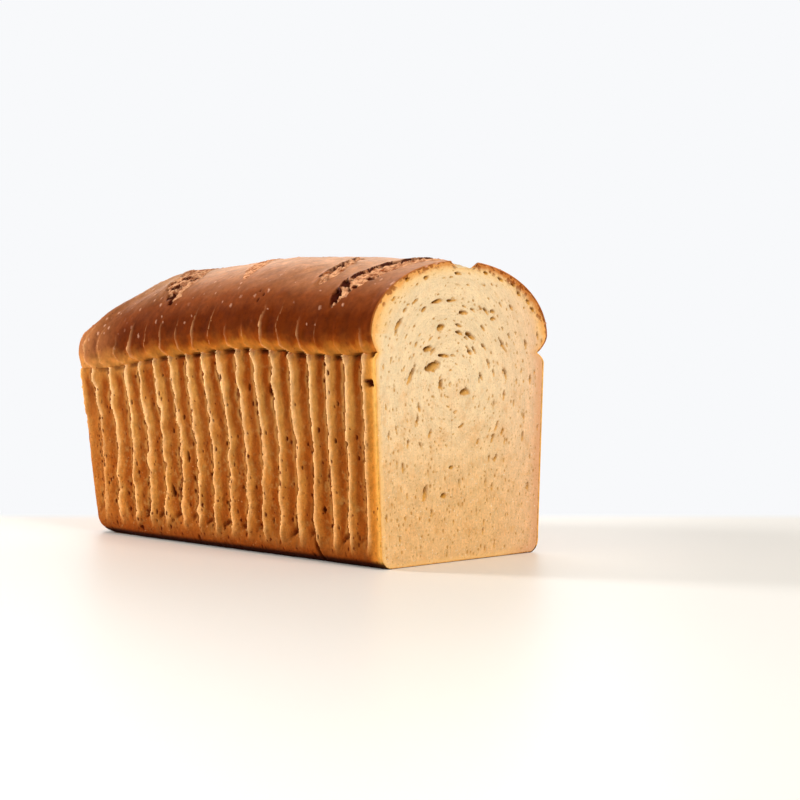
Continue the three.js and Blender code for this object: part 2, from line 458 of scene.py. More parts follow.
def towards_end(cols, start, stop):
    """0 along the sides until `start`, 1 round the far end, and smooth between them."""
    return np.where(cols["part"] == 0, 1.0, smooth(start, stop, cols["s"]))


def notch_at(cols):
    return notch_height(np.minimum(cols["s"], STRAIGHT_END))


def notch_depth(cols):
    """The notch is shallow on the near side, deeper on the far side, and almost gone at the far end."""
    side = np.where(cols["part"] < 0, NOTCH_NEAR, NOTCH_FAR)
    return side + (NOTCH_END - side) * towards_end(cols, 185, 215)


def body_corner(rise):
    """The corners are tight at the base and rounder at the shoulder, where the dough left the tin."""
    return BODY_CORNER + 4.0 * np.clip(rise, 0, 1) ** 2


def body_length(rise):
    return BASE_LENGTH + (SHOULDER_LENGTH - BASE_LENGTH) * rise


def body_outline(cols, rise, inset):
    """The outline of the loaf's body, at a share of the shoulder's height."""
    half = BASE_HALF + (SHOULDER_HALF - BASE_HALF) * rise + slab_proud(cols["s"]) - inset
    return outline(cols, half, body_length(rise) - inset, body_corner(rise) - inset)


def tuck_in(points, cols):
    """Moves the tucked columns in from the edge of the cut, towards the middle of the face."""
    y, z = points[..., 1], points[..., 2]
    middle = np.clip(z, 30, 105)
    away = np.stack([0 * y, y, z - middle], -1)
    away /= np.maximum(np.linalg.norm(away, axis=-1, keepdims=True), 1e-6)
    return points - away * cols["tuck"][None, :, None]


def place(cols, s, y, z, out_s, out_y, fold_s, rise):
    """The points of a grid, and what every tree reads.

    Folds are counted by the distance behind the cut, then round the end."""
    points = tuck_in(np.stack([CUT_X - s, y, z], -1), cols)
    turn = cols["turn"]
    from_middle = np.abs(turn - 0.5)
    out = np.stack([-out_s, out_y, 0 * out_s], -1)
    onward = np.where(turn > 0.5, -1.0, 1.0)
    along = np.stack([out[..., 1] * onward, -out[..., 0] * onward, 0 * out_s], -1)
    along *= smooth(0, 0.04, from_middle)[None, :, None]
    straight = body_length(rise) - body_corner(rise)
    last = fold_number(straight)
    round_end = last + 2 * (MIDDLE_END_FOLD - last) * (0.5 - from_middle)
    fold = np.where(cols["part"] == 0, round_end, fold_number(np.minimum(fold_s, straight)))
    corner = np.exp(-((turn - 0.09) / 0.13) ** 2) * (turn < 0.5)
    corner = np.maximum(corner, np.exp(-((turn - 0.91) / 0.13) ** 2) * (turn > 0.5))
    corner = np.where(cols["part"] == 0, corner, smooth(196, 217, cols["s"]) * 0.62)
    return points, {
        "fold": fold, "cut": s, "corner": corner, "along": along, "out": out,
        "side": 3.0 * smooth(0.38, 0.62, turn),       # moves the noise, so that the sides differ
        "height": points[..., 2], "notch": notch_at(cols), "depth": notch_depth(cols),
    }


def wall_rows(cols):
    """The walls as points[row, column], with their attributes."""
    notch, depth = notch_at(cols), notch_depth(cols)
    edge = 6.0 + 3.0 * towards_end(cols, 185, 217)          # how round the bottom edge is
    top = notch - 5                                         # where the wall starts to turn in
    straight_rows = np.linspace(0, 1, int(WALL_RISE / WALL_STEP))
    rows = [(edge * (1 - np.sin(a)), edge * (1 - np.cos(a))) for a in np.linspace(0, np.pi / 2, 10)[:-1]]
    rows += [(0 * edge, edge + (top - edge) * k) for k in straight_rows]
    rows += [(depth * k**2, top + 5 * k) for k in np.linspace(0, 1, 9)[1:]]
    rows += [(depth + OVERLAP, notch + 1.5)]
    inset, z = (np.array(part) for part in zip(*rows))
    rise = np.clip(z / SHOULDER_Z, 0, 1.05)
    s, y, out_s, out_y = body_outline(cols, rise, inset)
    points, attributes = place(cols, s, y, z, out_s, out_y, s, rise)
    return points, attributes | {"join": cols["join"]}


def crown_rows(cols):
    """The lip and the dome as points[row, column], with their attributes."""
    notch, depth = notch_at(cols), notch_depth(cols)
    rise = notch / SHOULDER_Z
    body, inside = (body_outline(cols, rise, inset) for inset in (depth, depth + OVERLAP))
    half = LIP_HALF - 1.3 * towards_end(cols, 170, 217)     # the lip dies away at the far end
    lip = outline(cols, half, LIP_LENGTH, LIP_CORNER)
    k = np.linspace(0, 1, 15)[:, None]
    share = 1 - (1 - k) ** UNDERCUT
    s, y = (np.vstack([inside[i], body[i] + (lip[i] - body[i]) * share]) for i in (0, 1))
    z = np.vstack([notch - 2.0, notch + LIP_RISE * k])
    ridge = cols["s"] - (STRAIGHT_END - CROWN_POLE) * np.clip(cols["s"] / STRAIGHT_END, 0, 1) ** 4
    ridge = np.where(cols["part"] == 0, CROWN_POLE, ridge)
    angles = np.linspace(0, np.pi / 2, int(DOME_ARC / CROWN_STEP))[1:, None]
    far_dome = towards_end(cols, 180, 217)                  # it slopes more evenly than the sides
    sunken = smooth(0.08, 0.6, angles) * (1 - smooth(0.85, 1.35, angles))
    up = np.sin(angles) - END_SLOPE * sunken * far_dome
    over = np.cos(angles) ** (1 - 0.12 * far_dome)
    s = np.vstack([s, ridge + (s[-1] - ridge) * over])
    y = np.vstack([y, y[-1] * over])
    z = np.vstack([z, z[-1] + (crown_height(ridge) - z[-1]) * up])
    return place(cols, s, y, z, lip[2] + 0 * s, lip[3] + 0 * s, body[0], rise)


wall_cols = columns(0.5, 0.8, 0.9)
seam = int(np.argmax(wall_cols["part"] == 0)) + 2           # just round the near corner
wall_cols["join"] = smooth(2, 9, np.abs(np.arange(len(wall_cols["s"])) - seam))     # 0 at the seam
near_points, near_attributes = wall_rows({label: v[:seam + 1] for label, v in wall_cols.items()})
far_points, far_attributes = wall_rows({label: v[seam:] for label, v in wall_cols.items()})
crown_points, crown_attributes = crown_rows(columns(0.62, 0.8, 1.0))
for label, points in (("near wall", near_points), ("far wall", far_points), ("crown", crown_points)):
    print(label, "grid:", points.shape[:2])

# %% [markdown]
# ## The folds
#
# A tin with upright ribs leaves folds in the crust. Each one is like a roof tile: a sharp crest, a long
# slope towards the cut, and a groove behind the crest. We could cut a profile and sweep it, but the folds
# bend, fade at the foot and jog under the lip. So one node group works out the phase, which is how far
# along its fold a point lies, from 0 at a crest to 1 just before the next. Everything else follows from it.
#
# The wall and the crown both use this group, so a crest that runs up the wall goes on over the lip.

# %% Node group: fold phase
FOLD_INPUTS = ("Fold", "Height", "Notch", "Cut", "Side")        # also attributes, in small letters


def attribute(tree, name, vector=False):
    kind = "FLOAT_VECTOR" if vector else "FLOAT"
    return add_wire(tree, "GeometryNodeInputNamedAttribute", {"Name": name}, data_type=kind)


def position_of(tree):
    return add_wire(tree, "GeometryNodeInputPosition")


def fold_phase_group():
    tree, given = new_tree("GeometryNodeTree", "Fold phase", {
        "Fold": 0.0, "Height": 0.0, "Notch": 96.0, "Cut": 0.0, "Side": 0.0, "Pitch": 13.0, "Wander": 1.2,
        "Kinks": 1.0, "Lean": 5.6, "Hook": 6.0, "Foot": 6.0,
    })
    fold, height, notch, cut, side = (given[label] for label in FOLD_INPUTS)
    drift = noise(joined(fold * 0.8, height / 26.0, side + 3.0), 1.0, 1.0) * given["Wander"] * 1.6
    bends = noise(joined(fold * 1.1, height / 13.0, side + 9.0), 1.0, 0.0).abs()
    ticks = noise(joined(fold * 1.7, height / 4.5, side + 4.0), 1.0, 1.0)
    frayed = noise(joined(fold * 2.4, height / 1.6, side + 6.0), 1.0, 1.0)
    kinks = bends * 3.8 - 0.9 + ticks * 0.65 + frayed * 0.4
    kinks = given["Kinks"] * kinks * (cut.step(15, 110) * 0.5 + 0.5)
    lean = given["Lean"] * cut.step(0, 110) * height.step(50, 94)
    above = height - notch
    hook = given["Hook"] * above.step(-1.5, 4.0) * cut.step(2, 25)
    low = (1.0 - height / 17.0).max(0.0)
    foot = given["Foot"] * low * low * (fold - (CREASE_FOLD - 1.0)).abs().fall(0.1, 0.9)
    moved = fold - (drift + kinks + lean + hook - foot) / given["Pitch"]
    return give(tree, Phase=1.0 - moved.math("FRACT"), Number=moved.math("CEIL"))


fold_phase = fold_phase_group()
print("fold phase group:", len(fold_phase.nodes), "nodes")

# %% [markdown]
# ## Hollows
#
# Pores in the crust, bubbles in the crumb and blisters on the crown are one idea at three sizes: hollows
# of random size, spaced so that they don't run into each other, and often stretched along the way the
# dough was pulled. This group scatters points over a mesh, finds the one nearest to each place, and
# measures the distance to it as an ellipse. It gives a mask, and each tree decides what to do with it.

# %% Node group: scattered hollows


def hollows_group():
    tree, given = new_tree("GeometryNodeTree", "Scattered hollows", {
        "Mesh": GEOMETRY, "Spacing": 2.5, "Length": 1.2, "Width": 0.5, "Ragged": 0.25, "Where": 1.0,
        "Grain": (0, 0, 1), "Towards": (0, -0.6, 0.8), "Edge": 0.55, "Seed": 1,
    })
    spacing = given["Spacing"]
    cloud = add_wire(tree, "GeometryNodeDistributePointsOnFaces", {
        "Mesh": given["Mesh"], "Distance Min": spacing, "Density Max": 3.0 / (spacing * spacing),
        "Density Factor": given["Where"], "Seed": given["Seed"],
    }, "Points", distribute_method="POISSON")
    here = position_of(tree)
    nearest = add_wire(tree, "GeometryNodeSampleNearest", {
        "Geometry": cloud, "Sample Position": here,
    }, domain="POINT")
    centre = add_wire(tree, "GeometryNodeSampleIndex", {
        "Geometry": cloud, "Value": here, "Index": nearest,
    }, data_type="FLOAT_VECTOR", domain="POINT")
    dice = add_wire(tree, "ShaderNodeTexWhiteNoise", {"Vector": centre}, "Color", noise_dimensions="3D")
    size, chance, _ = split(dice)
    size = size * size * 0.65 + 0.35
    away = here.vector("SUBTRACT", centre)
    lengthwise = away.dot(given["Grain"])
    across = (away.dot(away) - lengthwise * lengthwise).max(0.0).math("SQRT")
    long_part = lengthwise / (given["Length"] * size)
    wide_part = across / (given["Width"] * size)
    distance = (long_part * long_part + wide_part * wide_part).math("SQRT")
    distance = distance + given["Ragged"] * noise(here, 0.9, 1.0)
    side = away.dot(given["Towards"]) / (given["Width"] * size)
    return give(tree, Hollow=distance.fall(given["Edge"], 1.05), Size=size, Chance=chance, Side=side)


scattered_hollows = hollows_group()
print("scattered hollows group:", len(scattered_hollows.nodes), "nodes")

# %% [markdown]
# ## The walls
#
# The wall's tree reads the phase and lifts each point by a drawn profile: high at the crest, then a
# slope, then a low groove. A second, smaller push along the wall curls the crest over the groove behind it.
# It closes the notch at the crests, digs the one deep crease near the cut, and sinks pores, most of them in
# the grooves. It also stores masks, such as `crest`, that colour the crust later.

# %% Tree for the walls


def keep(geometry, masks):
    """Stores numbers on every point, under names that materials can read."""
    for name, value in masks.items():
        inputs = {"Geometry": geometry, "Name": name, "Value": value}
        geometry = add_wire(geometry.tree, "GeometryNodeStoreNamedAttribute", inputs, data_type="FLOAT",
                            domain="POINT")
    return geometry


def push(geometry, offset):
    return add_wire(geometry.tree, "GeometryNodeSetPosition", {"Geometry": geometry, "Offset": offset})


def finish_tree(tree, geometry, material):
    real = add_wire(tree, "GeometryNodeRealizeInstances", {"Geometry": geometry})
    dressed = add_wire(tree, "GeometryNodeSetMaterial", {"Geometry": real, "Material": material})
    return give(tree, Geometry=dressed)


def read_fold(tree):
    return place_group(fold_phase, {label: attribute(tree, label.lower()) for label in FOLD_INPUTS})


def scatter(given, kind, mesh, **changes):
    """Scatters hollows of one kind, such as "Pore", by the sizes that a tree was given for it."""
    sizes = {size: given[f"{kind} {size.lower()}"] for size in ("Spacing", "Length", "Width")}
    return place_group(scattered_hollows, {"Mesh": mesh, **sizes, **changes})


def near_crest(phase, before, after):
    """1 on a crest, and 0 further than `before` in front of it or `after` behind it. Both are in phases."""
    return phase.fall(0, before).max(phase.step(1 - after, 1))


def wall_tree():
    tree, given = new_tree("GeometryNodeTree", "Wall folds", {
        "Geometry": GEOMETRY, "Relief": 2.1, "Curl": 0.6, "Crease depth": 2.6,
        "Pore spacing": 2.1, "Pore length": 1.5, "Pore width": 0.7, "Pore depth": 0.7,
        "Pit spacing": 11.0, "Pit length": 2.2, "Pit width": 0.9, "Pit depth": 1.2,
        "Seed": 3, "Material": MATERIAL,
    })
    height, notch, cut, corner, side = (
        attribute(tree, label) for label in ("height", "notch", "cut", "corner", "side"))
    out, along = attribute(tree, "out", True), attribute(tree, "along", True)
    read = read_fold(tree)
    phase, number = read["Phase"], read["Number"]
    here = position_of(tree)
    below = height - notch

    foot_line = noise(joined(number * 2.3, 0.0, side + 8.0), 1.0, 1.0) * 4.0 + 14.0
    from_foot = height - foot_line
    rise = from_foot.step(-7, 1)
    body = cut.step(0.8, 6.0) * rise * (1.0 - corner * height.fall(48, 80))
    each = noise(joined(number * 3.7, height / 40.0, side + 1.0), 1.0, 0.0) * 0.6 + 1.0
    profile = phase.curve((0, 1), (0.06, 0.97), (0.16, 0.84), (0.30, 0.58), (0.46, 0.34), (0.64, 0.19),
                          (0.80, 0.08), (0.91, 0.0), (0.97, 0.3), (1, 1))
    curl = phase.curve((0, 1), (0.12, 0.45), (0.3, 0), (0.9, 0), (0.97, 0.3), (1, 1))
    crest = near_crest(phase, 0.14, 0.045)
    beads = noise(here, 3.2, 1.0) * crest * (cut.step(50, 130) * 0.3 + 0.2)
    lift = given["Relief"] * body * ((profile - 0.60) * each + beads)

    crease = (number - CREASE_FOLD).abs().fall(0.1, 0.6) * phase.step(0.69, 0.83)
    crease = crease * phase.fall(0.975, 1.0) * cut.step(20, 30)
    crease = crease * (cut - CREASE_FROM_CUT).abs().fall(11, 15) * (1.0 - height.step(35, 70) * 0.75)
    notched = (from_foot - (phase - 0.7) * 9.0).abs().fall(0.5, 2.0)
    notched = notched * phase.band(0.42, 0.56, 0.86, 0.95) * cut.step(8, 16)
    notched = notched * noise(joined(number * 5.1, 0.0, side + 2.0), 1.0, 0.0).step(-0.35, 0.15)
    notched = notched * (noise(here, 2.6, 1.0) + 0.5).step(0.0, 0.5)
    lump = ((from_foot + 4.0) / 5.0).abs().fall(0.1, 1.0) * near_crest(phase, 0.34, 0.22)
    bridge = crest * below.step(-5, -0.5) * body * attribute(tree, "depth")
    slots = below.step(-2.6, -1.2) * phase.band(0.22, 0.40, 0.84, 0.95)
    slots = slots * (noise(here, 6.0, 0.0) * 1.2 + 0.9).step(0.2, 0.9) * cut.step(0.5, 3)
    slots = slots * (1.0 - corner * 0.6) * (1.0 - cut.step(150, 200) * 0.3)
    rough = height.fall(25, 75) * cut.step(30, 120) * 0.5 + 0.5
    skin = noise(here, 8.0) * 0.30 + noise(here, 2.4, 2.0, 0.6) * 0.26 * rough
    lift = lift - given["Crease depth"] * crease + bridge - slots * 1.2 + skin * cut.step(0.5, 5)
    lift = lift + (lump * 0.9 - notched * 1.3) * cut.step(1, 8) * (1.0 - corner)
    joint = below.step(-8.0, -1.0) * cut.step(*FAR_PART)
    lift = lift * (1.0 - joint) + (profile - 0.45) * 2.0 * joint
    offset = out.scaled(lift).vector("ADD", along.scaled(given["Curl"] * curl * body))
    geometry = push(given["Geometry"], offset)

    beside = phase.step(0.66, 0.74) - phase.step(0.88, 0.96)    # the groove next to a crest
    beside = beside * (side - 1.5).abs().step(0.5, 1.2)         # not where the two sides meet
    join = attribute(tree, "join")
    low = height.fall(45, 85)
    where = (beside * 0.85 + low * 0.14 * cut.step(30, 90) + 0.05) * cut.step(2, 9)
    pores = scatter(given, "Pore", geometry, Seed=given["Seed"], Where=where)
    where = (low * 0.7 + 0.3) * cut.step(8, 20)
    pits = scatter(given, "Pit", geometry, Seed=given["Seed"] + 4.0, Where=where)
    pore = pores["Hollow"] * pores["Chance"].step(0.0, 0.7) * join
    pit = pits["Hollow"] * pits["Chance"].step(0.3, 0.5) * join
    hole = (attribute(tree, "hole") + noise(here, 1.6, 1.0) * 0.5).fall(0.6, 1.1)
    sunk = given["Pore depth"] * pore * pores["Size"]
    sunk = sunk.max(given["Pit depth"] * pit).max(attribute(tree, "hole_depth") * hole)
    geometry = keep(geometry, {
        # crest and ridge: painted pale, partly as paler baking and partly as a painted highlight where light
        # grazes the crest
        "crest": phase.fall(0.03, 0.19).max(phase.step(0.955, 1.0)) * body,
        "ridge": phase.fall(0.04, 0.40) * body,
        # shade: the slope in front of a groove, painted darker as shade
        "shade": phase.band(0.22, 0.46, 0.58, 0.78) * body * (1.0 - joint),
        "groove": phase.band(0.60, 0.76, 0.97, 1.0) * body,
        # under: the strip just behind a crest, painted dark as the crest's shadow
        "under": phase.band(0.72, 0.80, 0.985, 1.0) * body,
        # crease, slot, notched and pit: recesses that the wall crust paints dark as shade
        "crease": crease, "slot": slots, "notched": notched, "lump": lump, "joint": joint,
        "pit": pore.max(pit).max(hole), "sunk": sunk,
    })
    geometry = push(geometry, out.scaled(attribute(tree, "sunk") * -1.0))
    return finish_tree(tree, geometry, given["Material"])


wall_folds = wall_tree()
print("wall tree:", len(wall_folds.nodes), "nodes")

# %% [markdown]
# ## Holes listed one by one
#
# A few holes are so large that they have to sit where they do. For each point of a grid we work out how
# far it is from the nearest of them, as a share of the hole's own radius, and store that.

# %% The largest holes in the near wall
NO_HOLE = 9.0       # the distance where no hole is near
WALL_HOLES = (  # distance behind the cut, height, half length, half width, slope in degrees, depth
    (4, 84, 2.9, 1.7, 12, 3.2), (10, 82, 1.3, 0.8, 40, 1.4), (8, 70, 2.4, 0.7, 88, 1.6),
    (38, 25, 1.7, 1.1, 80, 2.2), (141, 45, 3.2, 0.9, 84, 2.0), (155, 27, 3.0, 0.9, 80, 2.0),
    (177, 14, 3.0, 0.9, 76, 1.8), (149, 27, 1.8, 0.7, 60, 1.5), (159, 40, 1.3, 0.8, 70, 1.4),
    (75, 80, 2.4, 0.8, 85, 1.8), (184, 6, 1.8, 1.2, 0, 1.4), (20, 55, 2.6, 0.9, 110, 1.8),
)


def hole_distance(across, height, holes):
    """Distance to the nearest hole, where 1 is its edge, the depth of that hole, and the side of it.

    The side is 1 at its upper edge towards -across, and -1 at the opposite edge."""
    nearest, depth, side = np.full(across.shape, NO_HOLE), np.zeros(across.shape), np.zeros(across.shape)
    for at, up, long, wide, slope, deep in holes:
        a = math.radians(slope)
        u = (across - at) * math.cos(a) + (height - up) * math.sin(a)
        v = -(across - at) * math.sin(a) + (height - up) * math.cos(a)
        r = np.hypot(u / long, v / wide)
        depth = np.where(r < nearest, deep, depth)
        side = np.where(r < nearest, (0.8 * (height - up) - 0.6 * (across - at)) / wide, side)
        nearest = np.minimum(nearest, r)
    return nearest, depth, side


for attributes, holes in ((near_attributes, WALL_HOLES), (far_attributes, ())):
    attributes["hole"], attributes["hole_depth"], _ = hole_distance(
        attributes["cut"], attributes["height"], holes)
print("holes placed in the near wall:", len(WALL_HOLES))

# %% [markdown]
# ## Grow the walls
#
# The tree now runs on both wall pieces with the same sizes. The near wall stops just round the corner, so
# that each piece stays light enough, and where they meet both follow the same rule and the edges match.

# %% Materials' names, filled in further down
MATERIALS = {
    name: bpy.data.materials.new(name) for name in ("wall crust", "crown crust", "crumb", "base crust")
}
print("materials to finish:", list(MATERIALS))

# %% Near wall, far end and far wall
for name, points, attributes in (
    ("near_wall", near_points, near_attributes),
    ("end_and_far_wall", far_points, far_attributes),
):
    wall = show(name, grid_mesh(name, points, attributes, flip=True))
    run_tree(wall, wall_folds, MATERIALS["wall crust"])

# %% [markdown]
# ## The crown
#
# Above the lip the folds die away in a few light streaks. The dome is not quite even, because dough rises
# in slow swells, and it carries small pale blisters. Across it run slashes that the baker cut. They opened
# in the oven, so each is a ragged band of torn crumb with a dark gap under its upper edge.
#
# A slash is a group with two ends, a bow and a width, because all four follow the same rule.

# %% Node group: slash


def slash_group():
    tree, given = new_tree("GeometryNodeTree", "Slash", {
        "Place": (0, 0, 0), "From": (0, 0, 0), "To": (10, 0, 0), "Bow": 3.0, "Half width": 4.0,
        "Ragged": 1.2, "Gap width": 2.8, "Gap": 1.0, "Broken": 0.0,
    })
    place, start = given["Place"], given["From"]
    span = given["To"].vector("SUBTRACT", start)
    length = span.vector("LENGTH", output="Value")
    axis = span.vector("NORMALIZE")
    axis_x, axis_y, _ = split(axis)
    side = joined(axis_y, axis_x * -1.0, 0.0)
    from_start = place.vector("SUBTRACT", start)
    along = from_start.dot(axis) / length
    bend = (along * math.pi).math("SINE") * given["Bow"] * axis_y
    across = from_start.dot(side) - bend
    tears = noise(position_of(tree), 4.5, 2.0, 0.6) * given["Ragged"] * 2.0
    taper = along.step(-0.02, 0.22) * (1.0 - along.step(0.2, 1.0) * 0.75) * 0.8 + 0.2
    half = given["Half width"] * taper
    ends = along.step(-0.02, 0.02) * along.fall(0.98, 1.02)
    edge = across.abs() + tears - half
    inside = edge.fall(-0.5, 0.5) * ends
    from_edge = (half - tears - across) / given["Gap width"]
    breaks = (noise(position_of(tree), 4.2, 1.0) - given["Broken"]).step(-0.45, -0.05)
    reach = from_edge + noise(position_of(tree), 2.6, 1.0) * 1.2
    there = breaks * ends * given["Gap"]
    gap = (from_edge.step(-0.4, 0.1) - reach.step(0.6, 1.1)) * there
    # painted shadow: a strip just outside the gap, under the ear, that is only coloured dark
    dark = (from_edge.step(-0.55, -0.3) - reach.step(0.6, 1.1)) * there
    ear = from_edge.step(-1.8, -0.1) * from_edge.fall(-0.1, 0.15) * ends * given["Gap"]
    return give(tree, Inside=inside, Gap=gap, Ear=ear, Dark=dark)


slash = slash_group()
print("slash group:", len(slash.nodes), "nodes")

# %% Tree for the crown
SLASHES = (     # from and to as (distance behind the cut, sideways), bow, half width, gap, how broken it is
    ((155, -51), (196, 20), 3.0, 10.5, 0.8, 0.7),
    ((109, -43), (136, 22), 3.0, 5.0, 0.0, 0.0),
    ((50, -45), (54, -14), -1.0, 4.6, 1.0, 0.45),
    ((32, -54), (-8, 10), 4.0, 7.2, 1.0, 0.12),
)
CROWN_PITS = (  # distance behind the cut, sideways, half length, half width, slope in degrees, depth
    (165.7, -42.1, 3.8, 2.1, 0, 1.4), (160.9, -48.5, 3.6, 2.2, 0, 1.3), (157.8, -52.1, 1.5, 1.0, 0, 0.9),
    (169, -32.7, 3.4, 2.0, 0, 1.2), (158.8, -36, 3.2, 1.5, 0, 1.0), (34.4, -43.5, 1.6, 2.0, 0, 2.0),
    (34.2, -49.2, 1.8, 1.9, 0, 2.0), (20.4, -40.7, 2.4, 1.2, 0, 1.6), (24, -46.5, 1.5, 0.9, 0, 1.2),
    (54.2, -28.2, 2.0, 2.6, 0, 2.0), (52.7, -34.6, 1.4, 1.8, 0, 1.6),
    (83, -52, 0.8, 0.6, 0, 0.6), (85, -54, 0.7, 0.7, 0, 0.6), (87.5, -50.5, 0.6, 0.6, 0, 0.6),
)


def crown_tree():
    tree, given = new_tree("GeometryNodeTree", "Crown", {
        "Geometry": GEOMETRY, "Swell": 1.0, "Fold relief": 2.0, "Fold fade": 8.0, "Streak": 0.5,
        "Torn rise": 0.2, "Ear": 1.0, "Gap depth": 3.0, "Blister spacing": 3.9, "Blister length": 2.0,
        "Blister width": 1.15, "Blister height": 0.3, "Seed": 5, "Material": MATERIAL,
    })
    height, notch, cut, side, hole, hole_depth = (
        attribute(tree, label) for label in ("height", "notch", "cut", "side", "hole", "hole_depth"))
    above = height - notch
    read = read_fold(tree)
    phase = read["Phase"]
    here = position_of(tree)
    normal = add_wire(tree, "GeometryNodeInputNormal")
    from_cut = cut.step(0.8, 7)

    profile = phase.curve((0, 1), (0.05, 0.93), (0.18, 0.68), (0.4, 0.40), (0.65, 0.24), (0.85, 0.10),
                          (0.945, 0.0), (0.985, 0.3), (1, 1))
    far = cut.step(*FAR_PART)
    fading = above.fall(1, given["Fold fade"] + far * 7.0) * 0.9 + above.fall(6, 30) * 0.1
    lift = given["Fold relief"] * fading * above.step(-3, 0) * (profile - 0.45)
    each = noise(joined(read["Number"] * 1.7, 0.0, side + 5.0), 1.0, 0.0)
    reach = (each * 42.0 + far * 6.0 + 12.0).max(3.0)
    fade = (above / reach).fall(0.45, 1.15)
    ribs = near_crest(phase, 0.16, 0.07) * fade
    patchy = noise(joined(attribute(tree, "fold"), above / 5.0, side + 2.0), 1.0) * 1.8 + each + 0.65
    patchy = patchy.max(0.0).min(1.4)
    # valley: between the ribs; it sinks the crust and marks it to be painted dark as shade
    valley = phase.band(0.25, 0.5, 0.7, 0.92) * fade * above.step(3, 8) * patchy
    valley = valley * (1.0 - cut.step(212, 232) * 0.8)
    lift = lift + given["Streak"] * above.step(3, 8) * (ribs * patchy - valley)
    swells = noise(here, 48.0, 1.0) * 1.6 + noise(here, 13.0, 1.0) * 0.45
    lift = lift + given["Swell"] * (swells + noise(here, 6.0, 1.0) * 0.14 * above.step(10, 30))
    skin = noise(here, 5.0) * (0.16 + 0.4 * above.fall(2, 9))
    underside = above.fall(-0.2, 0.8)
    slots = underside * phase.band(0.22, 0.40, 0.84, 0.95) * (1.0 - attribute(tree, "corner"))
    slots = slots * (1.0 - cut.step(150, 200) * 0.8)

    place = joined(cut, split(here)[1], 0.0)
    found = [place_group(slash, {
        "Place": place, "From": (*start, 0), "To": (*stop, 0), "Bow": bow, "Half width": half,
        "Gap": opening, "Broken": broken,
    }) for start, stop, bow, half, opening, broken in SLASHES]
    torn, gap, dark = (reduce(Wire.max, [one[label] for one in found]) for label in ("Inside", "Gap", "Dark"))
    ear = reduce(Wire.__add__, [one["Ear"] for one in found])
    rough = noise(here, 3.2, 2.0, 0.6) * (1.3 - cut.step(70, 100) * 0.5)
    pocks = noise(here, 4.0, 1.0, 0.6).step(0.15, 0.3) * torn.step(0.4, 0.9)
    gap = gap.max(pocks * 0.6) * cut.step(7, 14)
    lift = lift + ear * given["Ear"]
    lift = (lift + skin) * from_cut - slots
    torn = torn.max(attribute(tree, "bare"))
    pit = (hole + noise(here, 2.0, 1.0) * 0.5).fall(0.6, 1.1)
    lift = lift + torn * (rough + given["Torn rise"]) * from_cut - given["Gap depth"] * gap
    lift = lift - hole_depth * pit
    ragged = (hole + noise(here, 1.6, 1.0) * 0.9).step(0.7, 1.25)
    # gap also takes the pits and the shadow strip beside each slash, all painted dark as shade
    gap = gap.max((1.0 - ragged) * hole_depth.min(1.0))
    gap = gap.max(dark * cut.step(7, 14))
    geometry = push(given["Geometry"], normal.scaled(lift))

    where = (above.step(6, 16) * 0.7 + 0.05) * noise(here, 22.0, 1.0).step(-0.5, 0.3)
    grain = attribute(tree, "grain", True)
    specks = scatter(given, "Blister", geometry, Ragged=0.9, Where=where, Grain=grain, Seed=given["Seed"])
    blister = specks["Hollow"] * specks["Chance"].step(0.35, 0.8) * (1.0 - torn) * above.step(5, 14)
    # crest is painted as a highlight on the rib streaks, shade and valley as painted shade between them
    geometry = keep(geometry, {
        "above": above, "torn": torn, "gap": gap, "blister": blister, "slot": slots, "valley": valley,
        "crest": ribs * (patchy * 0.75 + 0.1 + far * 0.3) * (each + 0.9),
        "shade": phase.band(0.12, 0.38, 0.5, 0.8) * above.fall(0, 14),
    })
    geometry = push(geometry, normal.scaled(attribute(tree, "blister") * given["Blister height"]))
    return finish_tree(tree, geometry, given["Material"])


crown_form = crown_tree()
print("crown tree:", len(crown_form.nodes), "nodes")

# %% Crown
DIP = 3.3


def torn_dip(y, s):
    """How far the top has sunk where a slash runs into the cut."""
    return DIP * (smooth(-8.5, -6, y) - smooth(7 + s, 9.5 + s, y)) * (1 - smooth(12, 30, s))


crown_attributes["grain"] = crown_attributes["along"] * 0.6 + np.array([0.3, 0.5, 0.6])
sunk = torn_dip(crown_points[..., 1], crown_attributes["cut"]) * (crown_points[..., 2] > CROWN_AT_CUT - 15)
crown_points[..., 2] -= sunk
crown_attributes["bare"] = sunk / DIP
crown_attributes["hole"], crown_attributes["hole_depth"], _ = hole_distance(
    crown_attributes["cut"], crown_points[..., 1], CROWN_PITS)
crown = show("crown", grid_mesh("crown", crown_points, crown_attributes, flip=True))
run_tree(crown, crown_form, MATERIALS["crown crust"])

# %% [markdown]
# ## The crumb
#
# The knife opened thousands of bubbles. The dough was rolled up before it went into the tin, so the bubbles
# lie along the turns of a roll: round a centre in the upper half, and more upright near the walls. We store
# that direction as `grain`, and the same scattering group as before stretches its hollows along it. The few
# largest bubbles are listed one by one, because the eye goes to them first.

# %% The cut face as a grid
SWIRL_Y, SWIRL_Z = -8.0, 82.0       # the centre of the roll
SWIRL_SQUASH = 0.86                 # its width as a share of its height
CRUMB_GRID = (338, 262)             # rows and columns


def half_width(z, depth):
    """Half the loaf's width at the cut, with a notch of the given depth."""
    notch = float(notch_height(0.0))
    body = BASE_HALF + (SHOULDER_HALF - BASE_HALF) * np.clip(z, 0, notch) / SHOULDER_Z + 0.5
    low_edge = 1 - np.clip(z / 6, 0, 1)
    body = body - 6 * (1 - np.sqrt(1 - low_edge**2))
    body = body - depth * np.clip((z - notch + 5) / 5, 0, 1) ** 2
    lip_z = notch + LIP_RISE
    share = 1 - (1 - np.clip((z - notch) / LIP_RISE, 0, 1)) ** UNDERCUT
    lip = body + (LIP_HALF - body) * share
    dome = LIP_HALF * np.sqrt(np.clip(1 - ((z - lip_z) / (CROWN_AT_CUT - lip_z)) ** 2, 0, 1))
    return np.where(z < notch, body, np.where(z < lip_z, lip, dome))


